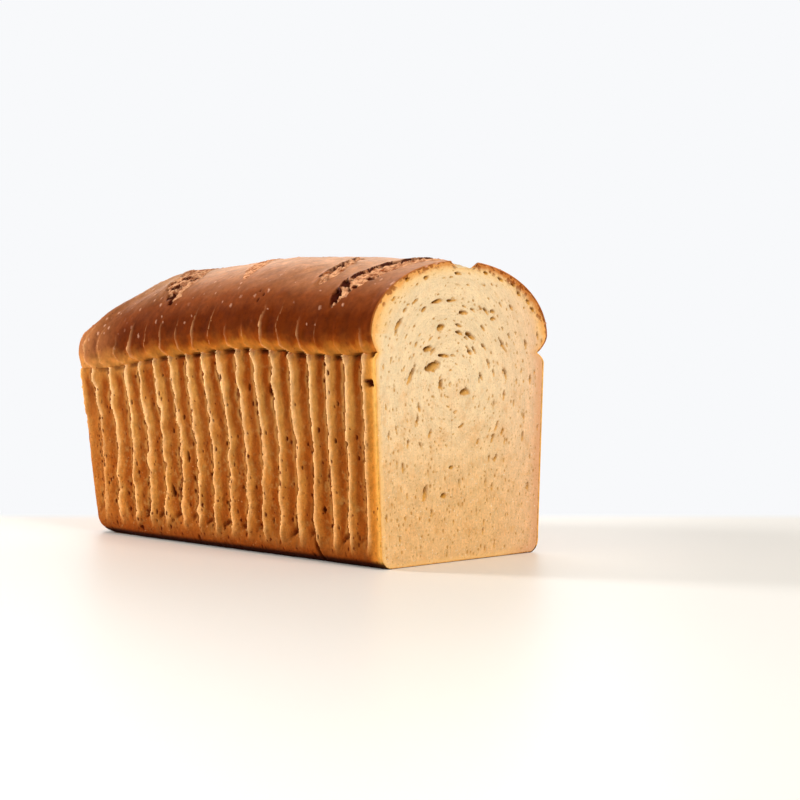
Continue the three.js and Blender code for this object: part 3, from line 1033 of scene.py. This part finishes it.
def crumb_rows(rows, cols):
    z = np.linspace(0.2, CROWN_AT_CUT - 0.15, rows)[:, None]
    near, far = half_width(z, NOTCH_NEAR), half_width(z, NOTCH_FAR)
    k = np.linspace(0, 1, cols)[None, :]
    y = -near + 0.25 + (near + far - 0.5) * k
    z = z + 0 * y
    lip_z = float(notch_height(0.0)) + LIP_RISE
    side = np.minimum(y + near, far - y)
    over = np.sqrt((y / LIP_HALF) ** 2 + (np.maximum(z - lip_z, 0) / (CROWN_AT_CUT - lip_z)) ** 2)
    rim = np.where(z > lip_z, np.minimum(side, (1 - over) * 40 + 0.1), side)
    rim = np.minimum(rim, z + 0.3)
    dip = torn_dip(y, 0.0)
    rim = rim + dip * (z > lip_z)
    z = z - dip * smooth(CROWN_AT_CUT - 12, CROWN_AT_CUT, z)
    wide, tall = (y - SWIRL_Y) / SWIRL_SQUASH, z - SWIRL_Z
    reach = np.hypot(wide, tall) + 1e-6
    round_way = np.stack([0 * y, -tall / reach * SWIRL_SQUASH, wide / reach], -1)
    upright = np.stack([0 * y, 0.06 * np.sign(y), 1 + 0 * y], -1)
    beside = smooth(30, 46, np.abs(y - SWIRL_Y)) * smooth(100, 80, z)
    low = np.clip(smooth(0, 22, SWIRL_Z - 18 - z) + beside, 0, 1)[..., None]
    round_way[..., 1:] *= np.sign(round_way[..., 2:] + 1e-6)
    grain = round_way * (1 - low) + upright * low
    grain /= np.linalg.norm(grain, axis=-1, keepdims=True)
    x = CUT_X - 0.06 - 0.35 * np.exp(-rim / 0.6)
    return np.stack([x, y, z], -1), {
        "rim": rim, "grain": grain, "roll": reach, "angle": np.arctan2(wide, tall), "height": z, "across": y,
        "low": low[..., 0],
    }


crumb_points, crumb_attributes = crumb_rows(*CRUMB_GRID)
print("crumb grid:", crumb_points.shape[:2])

# %% The largest bubbles
BUBBLES = (     # sideways, height, half length, half width, slope of the long axis in degrees, depth
    (-20, 91, 4.8, 2.3, 15, 4.2), (-34, 87, 5.2, 1.2, 58, 3.4), (1, 79, 3.5, 1.7, 3, 3.4),
    (-15, 83, 2.6, 1.1, 75, 3.0), (-42, 110, 4.4, 1.0, 50, 3.0), (-17, 121, 3.5, 1.0, 12, 3.0),
    (-8, 121.5, 3.4, 0.7, 5, 2.4), (0, 116, 3.3, 1.0, -5, 3.2), (-15, 109, 2.5, 1.6, 15, 3.4),
    (5, 105, 3.5, 1.0, -27, 3.0), (-23, 99, 3.0, 1.4, 8, 3.0), (-13, 96, 3.6, 0.8, -4, 2.8),
    (4.5, 97.5, 2.2, 1.0, -35, 2.8), (27, 101, 4.3, 0.8, -52, 2.6), (29, 87, 2.9, 0.8, -68, 2.6),
    (28, 77, 2.6, 0.8, 82, 2.6), (-25, 33, 4.2, 1.3, 76, 3.6), (-13, 31, 1.9, 1.2, 0, 2.6),
    (22, 47, 2.2, 0.9, 65, 2.4), (20, 117, 1.7, 0.9, -10, 2.6), (20, 113.5, 1.6, 0.9, 0, 2.6),
    (12, 118, 1.2, 0.5, 0, 2.0), (-26, 117, 1.8, 0.9, 38, 2.4), (33, 119, 1.8, 0.7, -45, 2.2),
    (-38, 116.5, 1.5, 0.7, 50, 2.2), (-3, 110, 2.4, 0.6, -20, 2.2), (14, 100, 2.2, 0.6, -40, 2.2),
    (12, 86, 2.4, 0.6, -60, 2.0), (-48, 60, 2.4, 0.6, 88, 2.2), (-22, 60, 2.6, 0.7, 72, 2.2),
    (-30, 66, 2.6, 0.7, 84, 2.4), (-36, 56, 2.2, 0.6, 82, 2.0), (-8, 44, 1.3, 0.8, 0, 2.0),
    (-36.3, 130.4, 1.5, 1.0, 36, 2.2), (-24.4, 131.6, 1.5, 1.0, 20, 2.4), (15.2, 135, 1.7, 0.8, -10, 2.0),
    (25.7, 132.2, 2.2, 0.9, -22, 2.2), (34.7, 129.6, 1.6, 0.8, -36, 2.0), (38.5, 125.6, 1.8, 1.0, -38, 2.2),
    (45, 122, 1.9, 1.1, -48, 2.2), (48.5, 118, 1.4, 0.8, -56, 2.0), (-45, 121.5, 1.2, 0.7, 48, 1.8),
)


measured = hole_distance(crumb_attributes["across"], crumb_attributes["height"], BUBBLES)
crumb_attributes |= dict(zip(("bubble", "bubble_depth", "bubble_side"), measured))
print("large bubbles:", len(BUBBLES))

# %% Tree for the crumb


def crumb_tree():
    tree, given = new_tree("GeometryNodeTree", "Crumb", {
        "Geometry": GEOMETRY, "Bubble spacing": 4.4, "Bubble length": 2.8, "Bubble width": 0.8,
        "Bubble depth": 2.0, "Pore spacing": 1.9, "Pore length": 1.0, "Pore width": 0.55, "Pore depth": 0.6,
        "Roughness": 0.2, "Seed": 11, "Material": MATERIAL,
    })
    here = position_of(tree)
    rim, height = attribute(tree, "rim"), attribute(tree, "height")
    inner = rim.step(1.2, 4.0)
    geometry, seed = given["Geometry"], given["Seed"]
    both = {"Grain": attribute(tree, "grain", True), "Ragged": 0.4}
    medium = scatter(given, "Bubble", geometry, Seed=seed, Edge=0.75, **both)
    small = scatter(given, "Pore", geometry, Seed=seed + 7.0, Edge=0.7, **both)
    middle = height.step(45, 75) * height.fall(105, 125) * 0.22 + 0.08
    medium_hollow = medium["Hollow"] * (medium["Chance"] + middle).step(0.78, 0.95) * inner
    many = 0.12 - height.step(40, 110) * 0.12
    small_hollow = small["Hollow"] * (small["Chance"] + many).step(0.6, 0.9) * inner
    ragged = attribute(tree, "bubble") + noise(here, 1.8) * 0.55
    large_hollow = ragged.fall(0.82, 1.05) * rim.step(0.6, 1.6)
    rough = noise(here, 1.5, 2.0, 0.6) * given["Roughness"]
    large_shade = attribute(tree, "bubble_side").step(-0.7, 0.6)
    medium_shade = medium["Side"].step(-0.8, 0.6)
    deep = medium_hollow * medium["Size"] * given["Bubble depth"] * (medium_shade * 0.6 + 0.4)
    deep = deep.max(small_hollow * small["Size"] * given["Pore depth"])
    deep = deep.max(large_hollow * attribute(tree, "bubble_depth") * (large_shade * 0.7 + 0.3))
    # the bubbles and pores stored here are painted darker as shade, and their upper left side darker still as
    # painted shadow
    geometry = keep(geometry, {
        "hollow": large_hollow.max(medium_hollow), "pore": small_hollow,
        "dark": (large_hollow * large_shade).max(medium_hollow * medium_shade * medium["Size"]),
    })
    geometry = push(geometry, joined(rough * inner - deep, 0.0, 0.0))
    return finish_tree(tree, geometry, given["Material"])


crumb_form = crumb_tree()
crumb = show("crumb_face", grid_mesh("crumb_face", crumb_points, crumb_attributes))
run_tree(crumb, crumb_form, MATERIALS["crumb"])

# %% [markdown]
# ## The base
#
# The underside lies flat on the table and is as brown as the walls. A ring that shrinks from the bottom
# edge towards the middle line closes it. It is the plainest piece, but it shows when the loaf is picked up.

# %% Base
BASE_LIFT = 0.12        # a hair above the table
BASE_ROWS = 60


def base_rows():
    """Every second column of the walls is enough here."""
    cols = {label: v[::2] for label, v in wall_cols.items()}
    inset = np.where(cols["part"] == 0, 8.0, 5.0)
    s, y, _, _ = outline(cols, BASE_HALF - inset, BASE_LENGTH - inset, BODY_CORNER - inset)
    middle = np.minimum(s, BASE_LENGTH - BASE_HALF)
    shrink = np.linspace(0, 1, BASE_ROWS)[:, None]
    z = np.full((len(shrink), len(s)), BASE_LIFT)
    return np.stack([CUT_X - (s + (middle - s) * shrink), y * (1 - shrink), z], -1)


base_points = base_rows()
base = show("base", grid_mesh("base", base_points, {"height": base_points[..., 2]}))
base.data.materials.append(MATERIALS["base crust"])
base.data.transform(TO_METRES)
print("base quads:", len(base.data.polygons))

# %% [markdown]
# ## Finishes
#
# Each crust material starts from the masks that its tree stored, so that the colour sits exactly on the
# form: a crest painted pale, partly as paler baking and partly as a painted highlight, and a pore painted
# dark as shade. Over that go two effects that all the materials share, each a node group: slow blotches,
# and fine pores too small to model, painted dark as shade.

# %% Colour helpers


def colour(card):
    """A colour as on a paint card, such as "C48C50", as the linear numbers that a shader takes."""
    shares = [int(card[i:i + 2], 16) / 255 for i in (0, 2, 4)]
    return tuple(c / 12.92 if c <= 0.04045 else ((c + 0.055) / 1.055) ** 2.4 for c in shares) + (1.0,)


def blend(share, first, second):
    """Mixes two colours, each a card or a Wire. The share is a Wire."""
    first, second = (colour(value) if isinstance(value, str) else value for value in (first, second))
    inputs = {0: share, 6: first, 7: second}
    return add_wire(share.tree, "ShaderNodeMix", inputs, 2, data_type="RGBA", clamp_factor=True)


def paint(base, *layers):
    """Paints layers over a colour. Each is a share and a card or a Wire."""
    for share, layer in layers:
        base = blend(share, base, layer)
    return base


def object_place(tree):
    """The place on the object, in millimetres."""
    return add_wire(tree, "ShaderNodeTexCoord", output="Object").scaled(1 / MM)


def ramp(value, *stops):
    """Colours along a number from 0 to 1."""
    node = add_node(value.tree, "ShaderNodeValToRGB", {0: value})
    marks = node.color_ramp.elements
    for _ in stops[2:]:
        marks.new(0.5)
    for mark, (where, card) in zip(marks, stops):
        mark.position = where
        mark.color = colour(card)
    return Wire(value.tree, node.outputs[0])


def squeezed(given):
    """The place that a group was given, squeezed upwards, so that what is drawn there comes out tall."""
    return given["Place"].vector("MULTIPLY", joined(1.0, 1.0, 1.0 / given["Stretch"]))


def blotches_group():
    tree, given = new_tree("ShaderNodeTree", "Blotches", {
        "Place": (0, 0, 0), "Size": 8.0, "Stretch": 1.0, "Strength": 0.2,
    })
    cloud = noise(squeezed(given).scaled(1.0 / given["Size"]), 1.0, 3.0, 0.6)
    return give(tree, Factor=cloud * given["Strength"] + 1.0)


def pores_group():
    tree, given = new_tree("ShaderNodeTree", "Fine pores", {
        "Place": (0, 0, 0), "Spacing": 1.5, "Radius": 0.3, "Stretch": 1.0,
    })
    place, spacing = squeezed(given), given["Spacing"]
    wobble = noise(place, 0.7, 1.0) * 0.12
    place = place.vector("ADD", joined(wobble, wobble, wobble)).scaled(1.0 / spacing)
    cells = add_node(tree, "ShaderNodeTexVoronoi", {"Vector": place, "Scale": 1.0})
    distance = Wire(tree, cells.outputs["Distance"]) * spacing
    chance, other, _ = split(Wire(tree, cells.outputs["Color"]))
    radius = given["Radius"] * (chance * 1.2 + 0.1) * other.step(0.35, 0.5)
    return give(tree, Mask=(distance / (radius + 0.001)).fall(0.6, 1.15))


blotches, fine_pores = blotches_group(), pores_group()
print("shader groups:", blotches.name, "and", fine_pores.name)

# %% Material helpers


def cleared(owner):
    """The emptied node tree of a material or a world."""
    owner.use_nodes = True
    owner.node_tree.nodes.clear()
    return owner.node_tree


def start_material(name):
    """Empties a material. Returns the place on the object and a function that reads stored masks."""
    tree = cleared(MATERIALS[name])

    def mask(label):
        settings = {"attribute_type": "GEOMETRY", "attribute_name": label}
        return add_wire(tree, "ShaderNodeAttribute", output="Fac", **settings)

    return object_place(tree), mask


def blotch(place, size, strength, stretch=1.0):
    inputs = {"Place": place, "Size": size, "Strength": strength, "Stretch": stretch}
    return place_group(blotches, inputs)["Factor"]


def pores(place, spacing, radius, stretch=1.0):
    inputs = {"Place": place, "Spacing": spacing, "Radius": radius, "Stretch": stretch}
    return place_group(fine_pores, inputs)["Mask"]


def finish_material(base, roughness, height, **fixed):
    """The surface shader. `height` is in millimetres, and `fixed` holds what is the same all over."""
    tree = base.tree
    bump = add_wire(tree, "ShaderNodeBump", {"Height": height, "Distance": MM, "Strength": 1.0})
    surface = add_wire(tree, "ShaderNodeBsdfPrincipled", {
        "Base Color": base, "Roughness": roughness, "Normal": bump, **fixed,
    })
    add_node(tree, "ShaderNodeOutputMaterial", {0: surface})


print("material helpers ready")

# %% [markdown]
# ## Wall crust
#
# The walls baked against metal, so they are golden brown and matt. The slope in front of each groove is
# painted darkest, as shade, the crests are painted pale, partly as paler baking and partly as a highlight,
# and near the knife the crust thins to yellow. Pits, pores, slots, notches, the crease and the bottom edge
# are painted dark as shade. Bump carries only what is too small to model.

# %% Wall crust


def make_wall_crust():
    place, mask = start_material("wall crust")
    height, cut, corner, groove, under = (
        mask(label) for label in ("height", "cut", "corner", "groove", "under"))
    patches = noise(place, 16.0).step(-0.5, 0.6)
    low = height.fall(30, 78)
    olive = noise(place, 3.4, 2.0, 0.6).step(0.0, 0.5) * (low * 0.7 + 0.3)
    broken = noise(place.vector("MULTIPLY", (1.0, 1.0, 0.5)), 2.6).step(-0.1, 0.35)
    base = paint(
        blend(patches, "BC6E26", "C6883E"),
        # painted shade: the slope in front of each groove, darker still towards the lip
        (mask("shade") * (height.step(55, 92) * 0.25 + 0.75), "94440A"),
        (mask("joint") * patches * 0.4, "D49048"),
        (groove * 0.6, "BE8C50"),
        # painted highlight, partly paler baking: the flank just behind each crest
        (mask("ridge") * 0.6, "DC9E54"),
        (olive * 0.65, "BC8E50"),
        # painted shadow: the dark strip just behind each crest, broken up by noise
        (under * (broken * 0.5 + 0.4), "6A2A08"),
        (height.fall(2, 17) * 0.8, "7C2E02"),
        (mask("lump") * 0.45, "D69A58"),
        (corner * height.fall(70, 95) * 0.35, "A85C24"),
        (cut.fall(3.0, 9) * 0.8, "E8983C"),
        (cut.fall(0.5, 3.5) * 0.9, "FFC468"),
        # painted highlight, partly paler baking: the crest line itself
        (mask("crest") * (0.9 - cut.step(218, 236) * 0.4), "FFC688"),
    )
    base = base.scaled(blotch(place, 9.0, 0.22, 2.5) * blotch(place, 1.9, 0.42, 1.5))
    base = base.scaled(noise(place, 0.8, 2.0, 0.7) * (low * 0.16 + 0.10) + 1.04)
    base = base.vector("MULTIPLY", joined(*(1.0 - low * less for less in (0.03, 0.14, 0.30))))
    flecks = noise(place, 1.5, 2.0, 0.6).step(0.25, 0.6) * low * cut.step(30, 110)
    beside = groove * 0.8 + under * 0.2
    dots = pores(place, 1.5, 0.5, 1.3) * (beside * 0.8 + low * 0.3 + corner * 0.5)
    specks = (pores(place, 2.3, 0.46, 1.5) * (low * 0.7 + 0.3).max(corner)).max(dots)
    # painted shade: pits, slots under the lip, notches at the foot, the crease and fine pores are painted
    # dark
    base = paint(
        base,
        (flecks * 0.55, "E8B474"),
        ((mask("pit") * 1.6).min(0.95), "642006"),
        (mask("slot") * 0.85, "481C06"),
        (mask("notched") * 0.8, "6A2408"),
        (mask("crease") * 0.85, "401004"),
        (specks * 0.75, "702406"),
        # painted shadow: the bottom few millimetres, where the loaf meets the table, are painted almost black
        (height.fall(1.9, 4.3) * 0.96, "2A0A04"),
    )
    roughness = noise(place, 4.0) * 0.06 + 0.8
    bumps = noise(place, 0.9) * 0.14 - specks * 0.25
    finish_material(base, roughness, bumps, **{"Specular IOR Level": 0.02})


make_wall_crust()
print("wall crust done")

# %% [markdown]
# ## Crown crust
#
# The crown stood free in the hot air. It is golden at the lip, darkest just above it, and browner than the
# walls all over, with a slight gloss. Towards the ridge it is painted paler, as sheen. The light streaks on
# the ribs are painted highlight, and the valleys between them, the slash gaps, pits, slots and pores are
# painted dark as shade. The torn crumb in the slashes is much paler.

# %% Crown crust


def make_crown_crust():
    place, mask = start_material("crown crust")
    above, cut, torn = mask("above"), mask("cut"), mask("torn")
    streak_place = joined(mask("fold") * 1.4, above / 22.0, mask("side") + 2.0)
    streaks = noise(streak_place, 1.0, 3.0, 0.6) * above.fall(8, 34)
    wavy = above + noise(place, 14.0) * 2.5 + streaks * 8.0 + above.step(1, 6) * 1.2
    # painted sheen: the ramp turns pale and pinkish towards the ridge
    base = paint(
        ramp(wavy / 46.0, (0.0, "D48C3A"), (0.08, "CA7828"), (0.15, "96450E"), (0.24, "6C2A02"),
             (0.42, "682804"), (0.62, "86411A"), (0.82, "B27044"), (1.0, "DA9E72")),
        (cut.fall(0.1, 1.3) * 0.6, "CC7834"),
        (cut.step(190, 238) * (0.75 - above.step(14, 34) * 0.45), "D08650"),
    )
    base = paint(
        base.scaled(1.0 - cut.step(135, 175) * above.step(16, 34) * 0.25),
        (cut.step(*FAR_PART) * wavy.fall(4, 12) * 0.5, "DC9A50"),
        # painted shade and painted highlight on the ribs just above the lip
        (mask("shade") * 0.4, "9A5A24"),
        (mask("valley") * 0.65, "541C04"),
        (mask("crest") * 0.6, "E8A870"),
    )
    base = base.scaled(blotch(place, 9.0, 0.42) * blotch(place, 2.6, 0.40))
    specks = pores(place, 2.6, 0.4) * (1.0 - torn)
    crumbs = noise(place, 2.4, 2.0, 0.6).step(-0.4, 0.35)
    late, later = cut.step(90, 110), cut.step(130, 150)         # the slashes further back
    inside = blend(late * 0.2 - later * 0.1, blend(crumbs, "9C4C20", "FABA88"), "F4A878")
    bare = mask("bare") * (cut + noise(place, 5.0) * 4.0).fall(2, 14)
    inside = blend(bare, inside.scaled(1.0 - later * 0.16), "F4D4A0")
    base = paint(
        base.scaled(streaks * 0.5 + 1.0),
        (mask("blister") * 0.75, "E4AA88"),
        # painted shade: fine pores, the slash gaps and their shadow strip, the pits and the slots under the
        # lip are painted dark
        (specks * (cut.step(150, 220) * 0.35 + 0.4), "4A1A06"),
        (torn.step(0.3, 0.7), inside),
        ((mask("gap") * 1.4).min(0.96), "441002"),
        (mask("slot") * 0.6, "5E3413"),
    )
    crumbly = torn.step(0.2, 0.6)
    roughness = noise(place, 5.0) * 0.05 + 0.72 - above.step(16, 34) * 0.2 + crumbly * 0.2
    bumps = noise(place, 0.8) * 0.035 - specks * 0.12
    glaze = above.step(18, 40) * (1.0 - crumbly) * (0.3 - cut.step(120, 200) * 0.2)
    finish_material(base, roughness, bumps, **{
        "Specular IOR Level": 0.01, "Coat Weight": glaze, "Coat Roughness": 0.5, "Coat IOR": 1.3,
    })


make_crown_crust()
print("crown crust done")

# %% [markdown]
# ## Crumb
#
# Crumb is cream and matt. Next to the crust it turns tan, then brown: a wide band under the crown, and a
# thin one by the walls. Bubbles are painted a little darker inside, as shade, because light has to find its
# way in through the crumb, and their upper left side darker still, as painted shadow. Small bright glints
# are painted highlights.

# %% Crumb


def make_crumb():
    place, mask = start_material("crumb")
    rim, height, across, roll, low = (mask(label) for label in ("rim", "height", "across", "roll", "low"))
    warm = noise(place, 11.0, 3.0, 0.6).step(-0.1, 0.5) * (1.0 - height.step(60, 105) * 0.8)
    base = paint(
        blend(height.step(15, 90), "F4C385", "FADCAE").scaled(1.0 - height.step(92, 120) * 0.035),
        (warm * 0.5, "EAB070"),
        (across.step(10, 50) * 0.45, "F2C298"),
        (across.step(40, 55) * 0.35, "EAA67C"),
    )
    turns = ((roll / 9.0 + noise(place, 22.0) * 0.8) * math.tau).math("SINE")
    arcs = noise(joined(roll / 1.2, mask("angle") * 4.0, 0.0), 1.0, 2.0, 0.6) * (1.0 - low) * roll.step(4, 10)
    base = base.scaled(turns * 0.03 + 1.0).scaled(arcs * 0.13 + 1.0)
    base = base.scaled(blotch(place, 12.0, 0.08) * blotch(place, 2.6, 0.10))
    lively = 1.3 - height.step(20, 60) * 0.3 - height.step(60, 120) * 0.5
    base = base.scaled(noise(place, 1.0, 2.0, 0.7) * lively * 0.24 + 1.0)
    base = blend(noise(place, 4.0, 3.0, 0.6).step(0.05, 0.4) * lively * 0.35, base, "E2A45C")
    upright = noise(place.vector("MULTIPLY", (1.0, 1.0, 0.2)), 0.9) * low
    base = base.scaled(upright * 0.16 + 1.0)

    upper, far_side = height.step(92, 108), across.step(20, 50)
    near_rim = rim + noise(place, 3.0, 3.0) * (upper * 0.9 + 0.7)
    baked = across.step(-55, 18) * height.step(104, 126)         # the crown crust is browner on this side
    baked = baked.max(height.step(120, 133) * 0.4)
    golden = upper * 3.0 + 1.8 + far_side * (2.2 - upper * 2.6)
    orange = upper * 2.0 + 0.9 + baked * 0.5
    browned = far_side.max(upper * across.step(-55, -25))
    in_rim = rim.fall(4.0, 8.0) * upper
    specks = pores(place, 1.3, 0.3, 1.3) * noise(place, 7.0, 1.0).step(-0.4, 0.3)
    painted_glints = noise(place, 1.1, 1.0).step(0.3, 0.55) * lively
    crusty = (near_rim / (across.step(-30, 30) * 2.0 + 2.8)).fall(0.6, 1.3) * height.step(104, 118)
    base = paint(
        base,
        ((near_rim / golden).fall(0.5, 2.0) * 0.8, blend(far_side * (1.0 - upper), "FFCC82", "EAAC7C")),
        ((near_rim / orange).fall(0.5, 1.4) * 0.9, blend(baked, "FFB864", "C87026")),
        (near_rim.fall(0.4, 1.1) * (browned * 0.7 + 0.2), "7E3C10"),
        # painted shade: bubbles and pores are darker inside, their upper left side darker still as painted
        # shadow
        (mask("hollow") * 0.8, "DC9C32"),
        (mask("dark") * 0.95, blend(in_rim, "7C4C00", "541E04")),
        (mask("pore") * 0.85, "C08220"),
        (specks * (0.6 - height.step(30, 110) * 0.35), "BC8230"),
        # painted highlight: small bright glints on the crumb
        (painted_glints * 0.5, "FFEAC8"),
        (pores(place, 2.1, 1.7) * crusty * 0.7, "863602"),
    )
    roughness = noise(place, 3.0) * 0.04 + 0.86
    bumps = noise(place, 0.8, 2.0, 0.6) * 0.22 + (upright + arcs) * 0.25 - specks * 0.2
    finish_material(base, roughness, bumps, **{"Specular IOR Level": 0.05})


make_crumb()
print("crumb done")

# %% Base crust


def make_base_crust():
    place, _ = start_material("base crust")
    base = ramp(noise(place, 30.0, 3.0) * 0.5 + 0.5, (0.2, "8A4E22"), (0.8, "A5662F"))
    specks = pores(place, 2.4, 0.5)
    # painted shade: fine pores painted dark
    base = blend(specks * 0.6, base.scaled(blotch(place, 3.0, 0.2)), "4E2409")
    finish_material(base, noise(place, 4.0) * 0.05 + 0.62, noise(place, 1.5) * 0.2 - specks * 0.4)


make_base_crust()
print("base crust done")

# %% [markdown]
# ## The studio
#
# A pale floor runs out of sight, and past a soft line behind the loaf it is as bright as the backdrop. The
# light comes from large soft boxes. The first stands at the far left, so that it grazes the wall and gives
# each crest a bright edge. The second lights the cut face, and the third, high up behind the loaf, the
# crown. The backdrop is brighter behind the loaf and overhead, as in a white room.

# %% Floor and backdrop
BACKDROP = "F8F9FB"
FLOOR_HALF = 8.0                    # metres
FLOOR_END = (985.0, 1030.0)         # millimetres in front of the camera
AMBIENT = 0.65                      # how much light the backdrop gives


def mixed(share, first, second):
    """One shader where the share is 0, and the other where it is 1."""
    return add_wire(share.tree, "ShaderNodeMixShader", {0: share, 1: first, 2: second})


def make_floor():
    mesh = bpy.data.meshes.new("floor")
    corners = [(x * FLOOR_HALF, y * FLOOR_HALF, 0) for x, y in ((-1, -1), (1, -1), (1, 1), (-1, 1))]
    mesh.from_pydata(corners, [], [(0, 1, 2, 3)])
    material = bpy.data.materials.new("floor")
    tree = cleared(material)
    turn = math.radians(CAMERA_TURN)
    eye = (CUT_X + CAMERA_FROM_CUT[0], CAMERA_FROM_CUT[1], 0.0)
    forward = (-math.sin(turn), math.cos(turn), 0.0)
    depth = object_place(tree).vector("SUBTRACT", eye).dot(forward)
    matt = add_wire(tree, "ShaderNodeBsdfPrincipled", {
        "Base Color": colour("F8F3EA"), "Roughness": 0.38, "Specular IOR Level": 0.3,
    })
    glow = add_wire(tree, "ShaderNodeEmission", {"Color": colour(BACKDROP), "Strength": 1.0})
    add_node(tree, "ShaderNodeOutputMaterial", {0: mixed(depth.step(*FLOOR_END), matt, glow)})
    mesh.materials.append(material)
    return show("floor", mesh)


def make_world():
    world = bpy.data.worlds.new("studio")
    tree = cleared(world)
    seen = add_wire(tree, "ShaderNodeBackground", {"Color": colour(BACKDROP), "Strength": 1.0})
    direction = add_wire(tree, "ShaderNodeTexCoord", output="Generated")
    behind = direction.dot((-0.72, 0.69, 0.0)).step(-0.2, 0.9)
    upward = direction.dot((0.0, 0.0, 1.0)).step(-0.1, 1.0)
    strength = (behind * 0.75 + upward * 0.35 + 0.12) * AMBIENT
    light = add_wire(tree, "ShaderNodeBackground", {"Color": colour("FFFCF8"), "Strength": strength})
    to_camera = add_wire(tree, "ShaderNodeLightPath", output="Is Camera Ray")
    add_node(tree, "ShaderNodeOutputWorld", {0: mixed(to_camera, light, seen)})
    bpy.context.scene.world = world


floor = make_floor()
make_world()
bpy.context.scene.view_settings.view_transform = "Standard"
print("floor and backdrop ready")

# %% Soft boxes


def soft_box(name, where, target, size, power):
    """A rectangular lamp. Places and sizes are in metres, the power in watts."""
    data = bpy.data.lights.new(name, "AREA")
    data.shape = "RECTANGLE"
    data.size, data.size_y = size
    data.energy = power
    lamp = show(name, data)
    lamp.location = where
    x, y, z = (t - w for t, w in zip(target, where))
    lamp.rotation_euler = (math.atan2(math.hypot(x, y), -z), 0, math.atan2(-x, y))


soft_box("left_box", (-1.35, -0.85, 0.55), (0, 0, 0.06), (0.4, 0.5), 27.0)
soft_box("face_box", (1.45, -0.10, 1.15), (0.12, 0, 0.07), (0.7, 0.7), 19.0)
soft_box("back_box", (-1.1, 0.85, 0.85), (0, 0, 0.12), (1.2, 0.8), 7.0)

# %% [markdown]
# ## Onto the body
#
# Every new piece rides on the loaf's one body, and the solid model's loaf is hidden.

# %% Attach the pieces to the body
PIECES = {
    "near_wall": "crust", "end_and_far_wall": "crust", "crown": "crust", "base": "crust",
    "crumb_face": "crumb",
}
for name, slot in PIECES.items():
    piece = bpy.data.objects[name]
    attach(piece, "root")
    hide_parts("loaf")
print("pieces handed over:", len(PIECES))
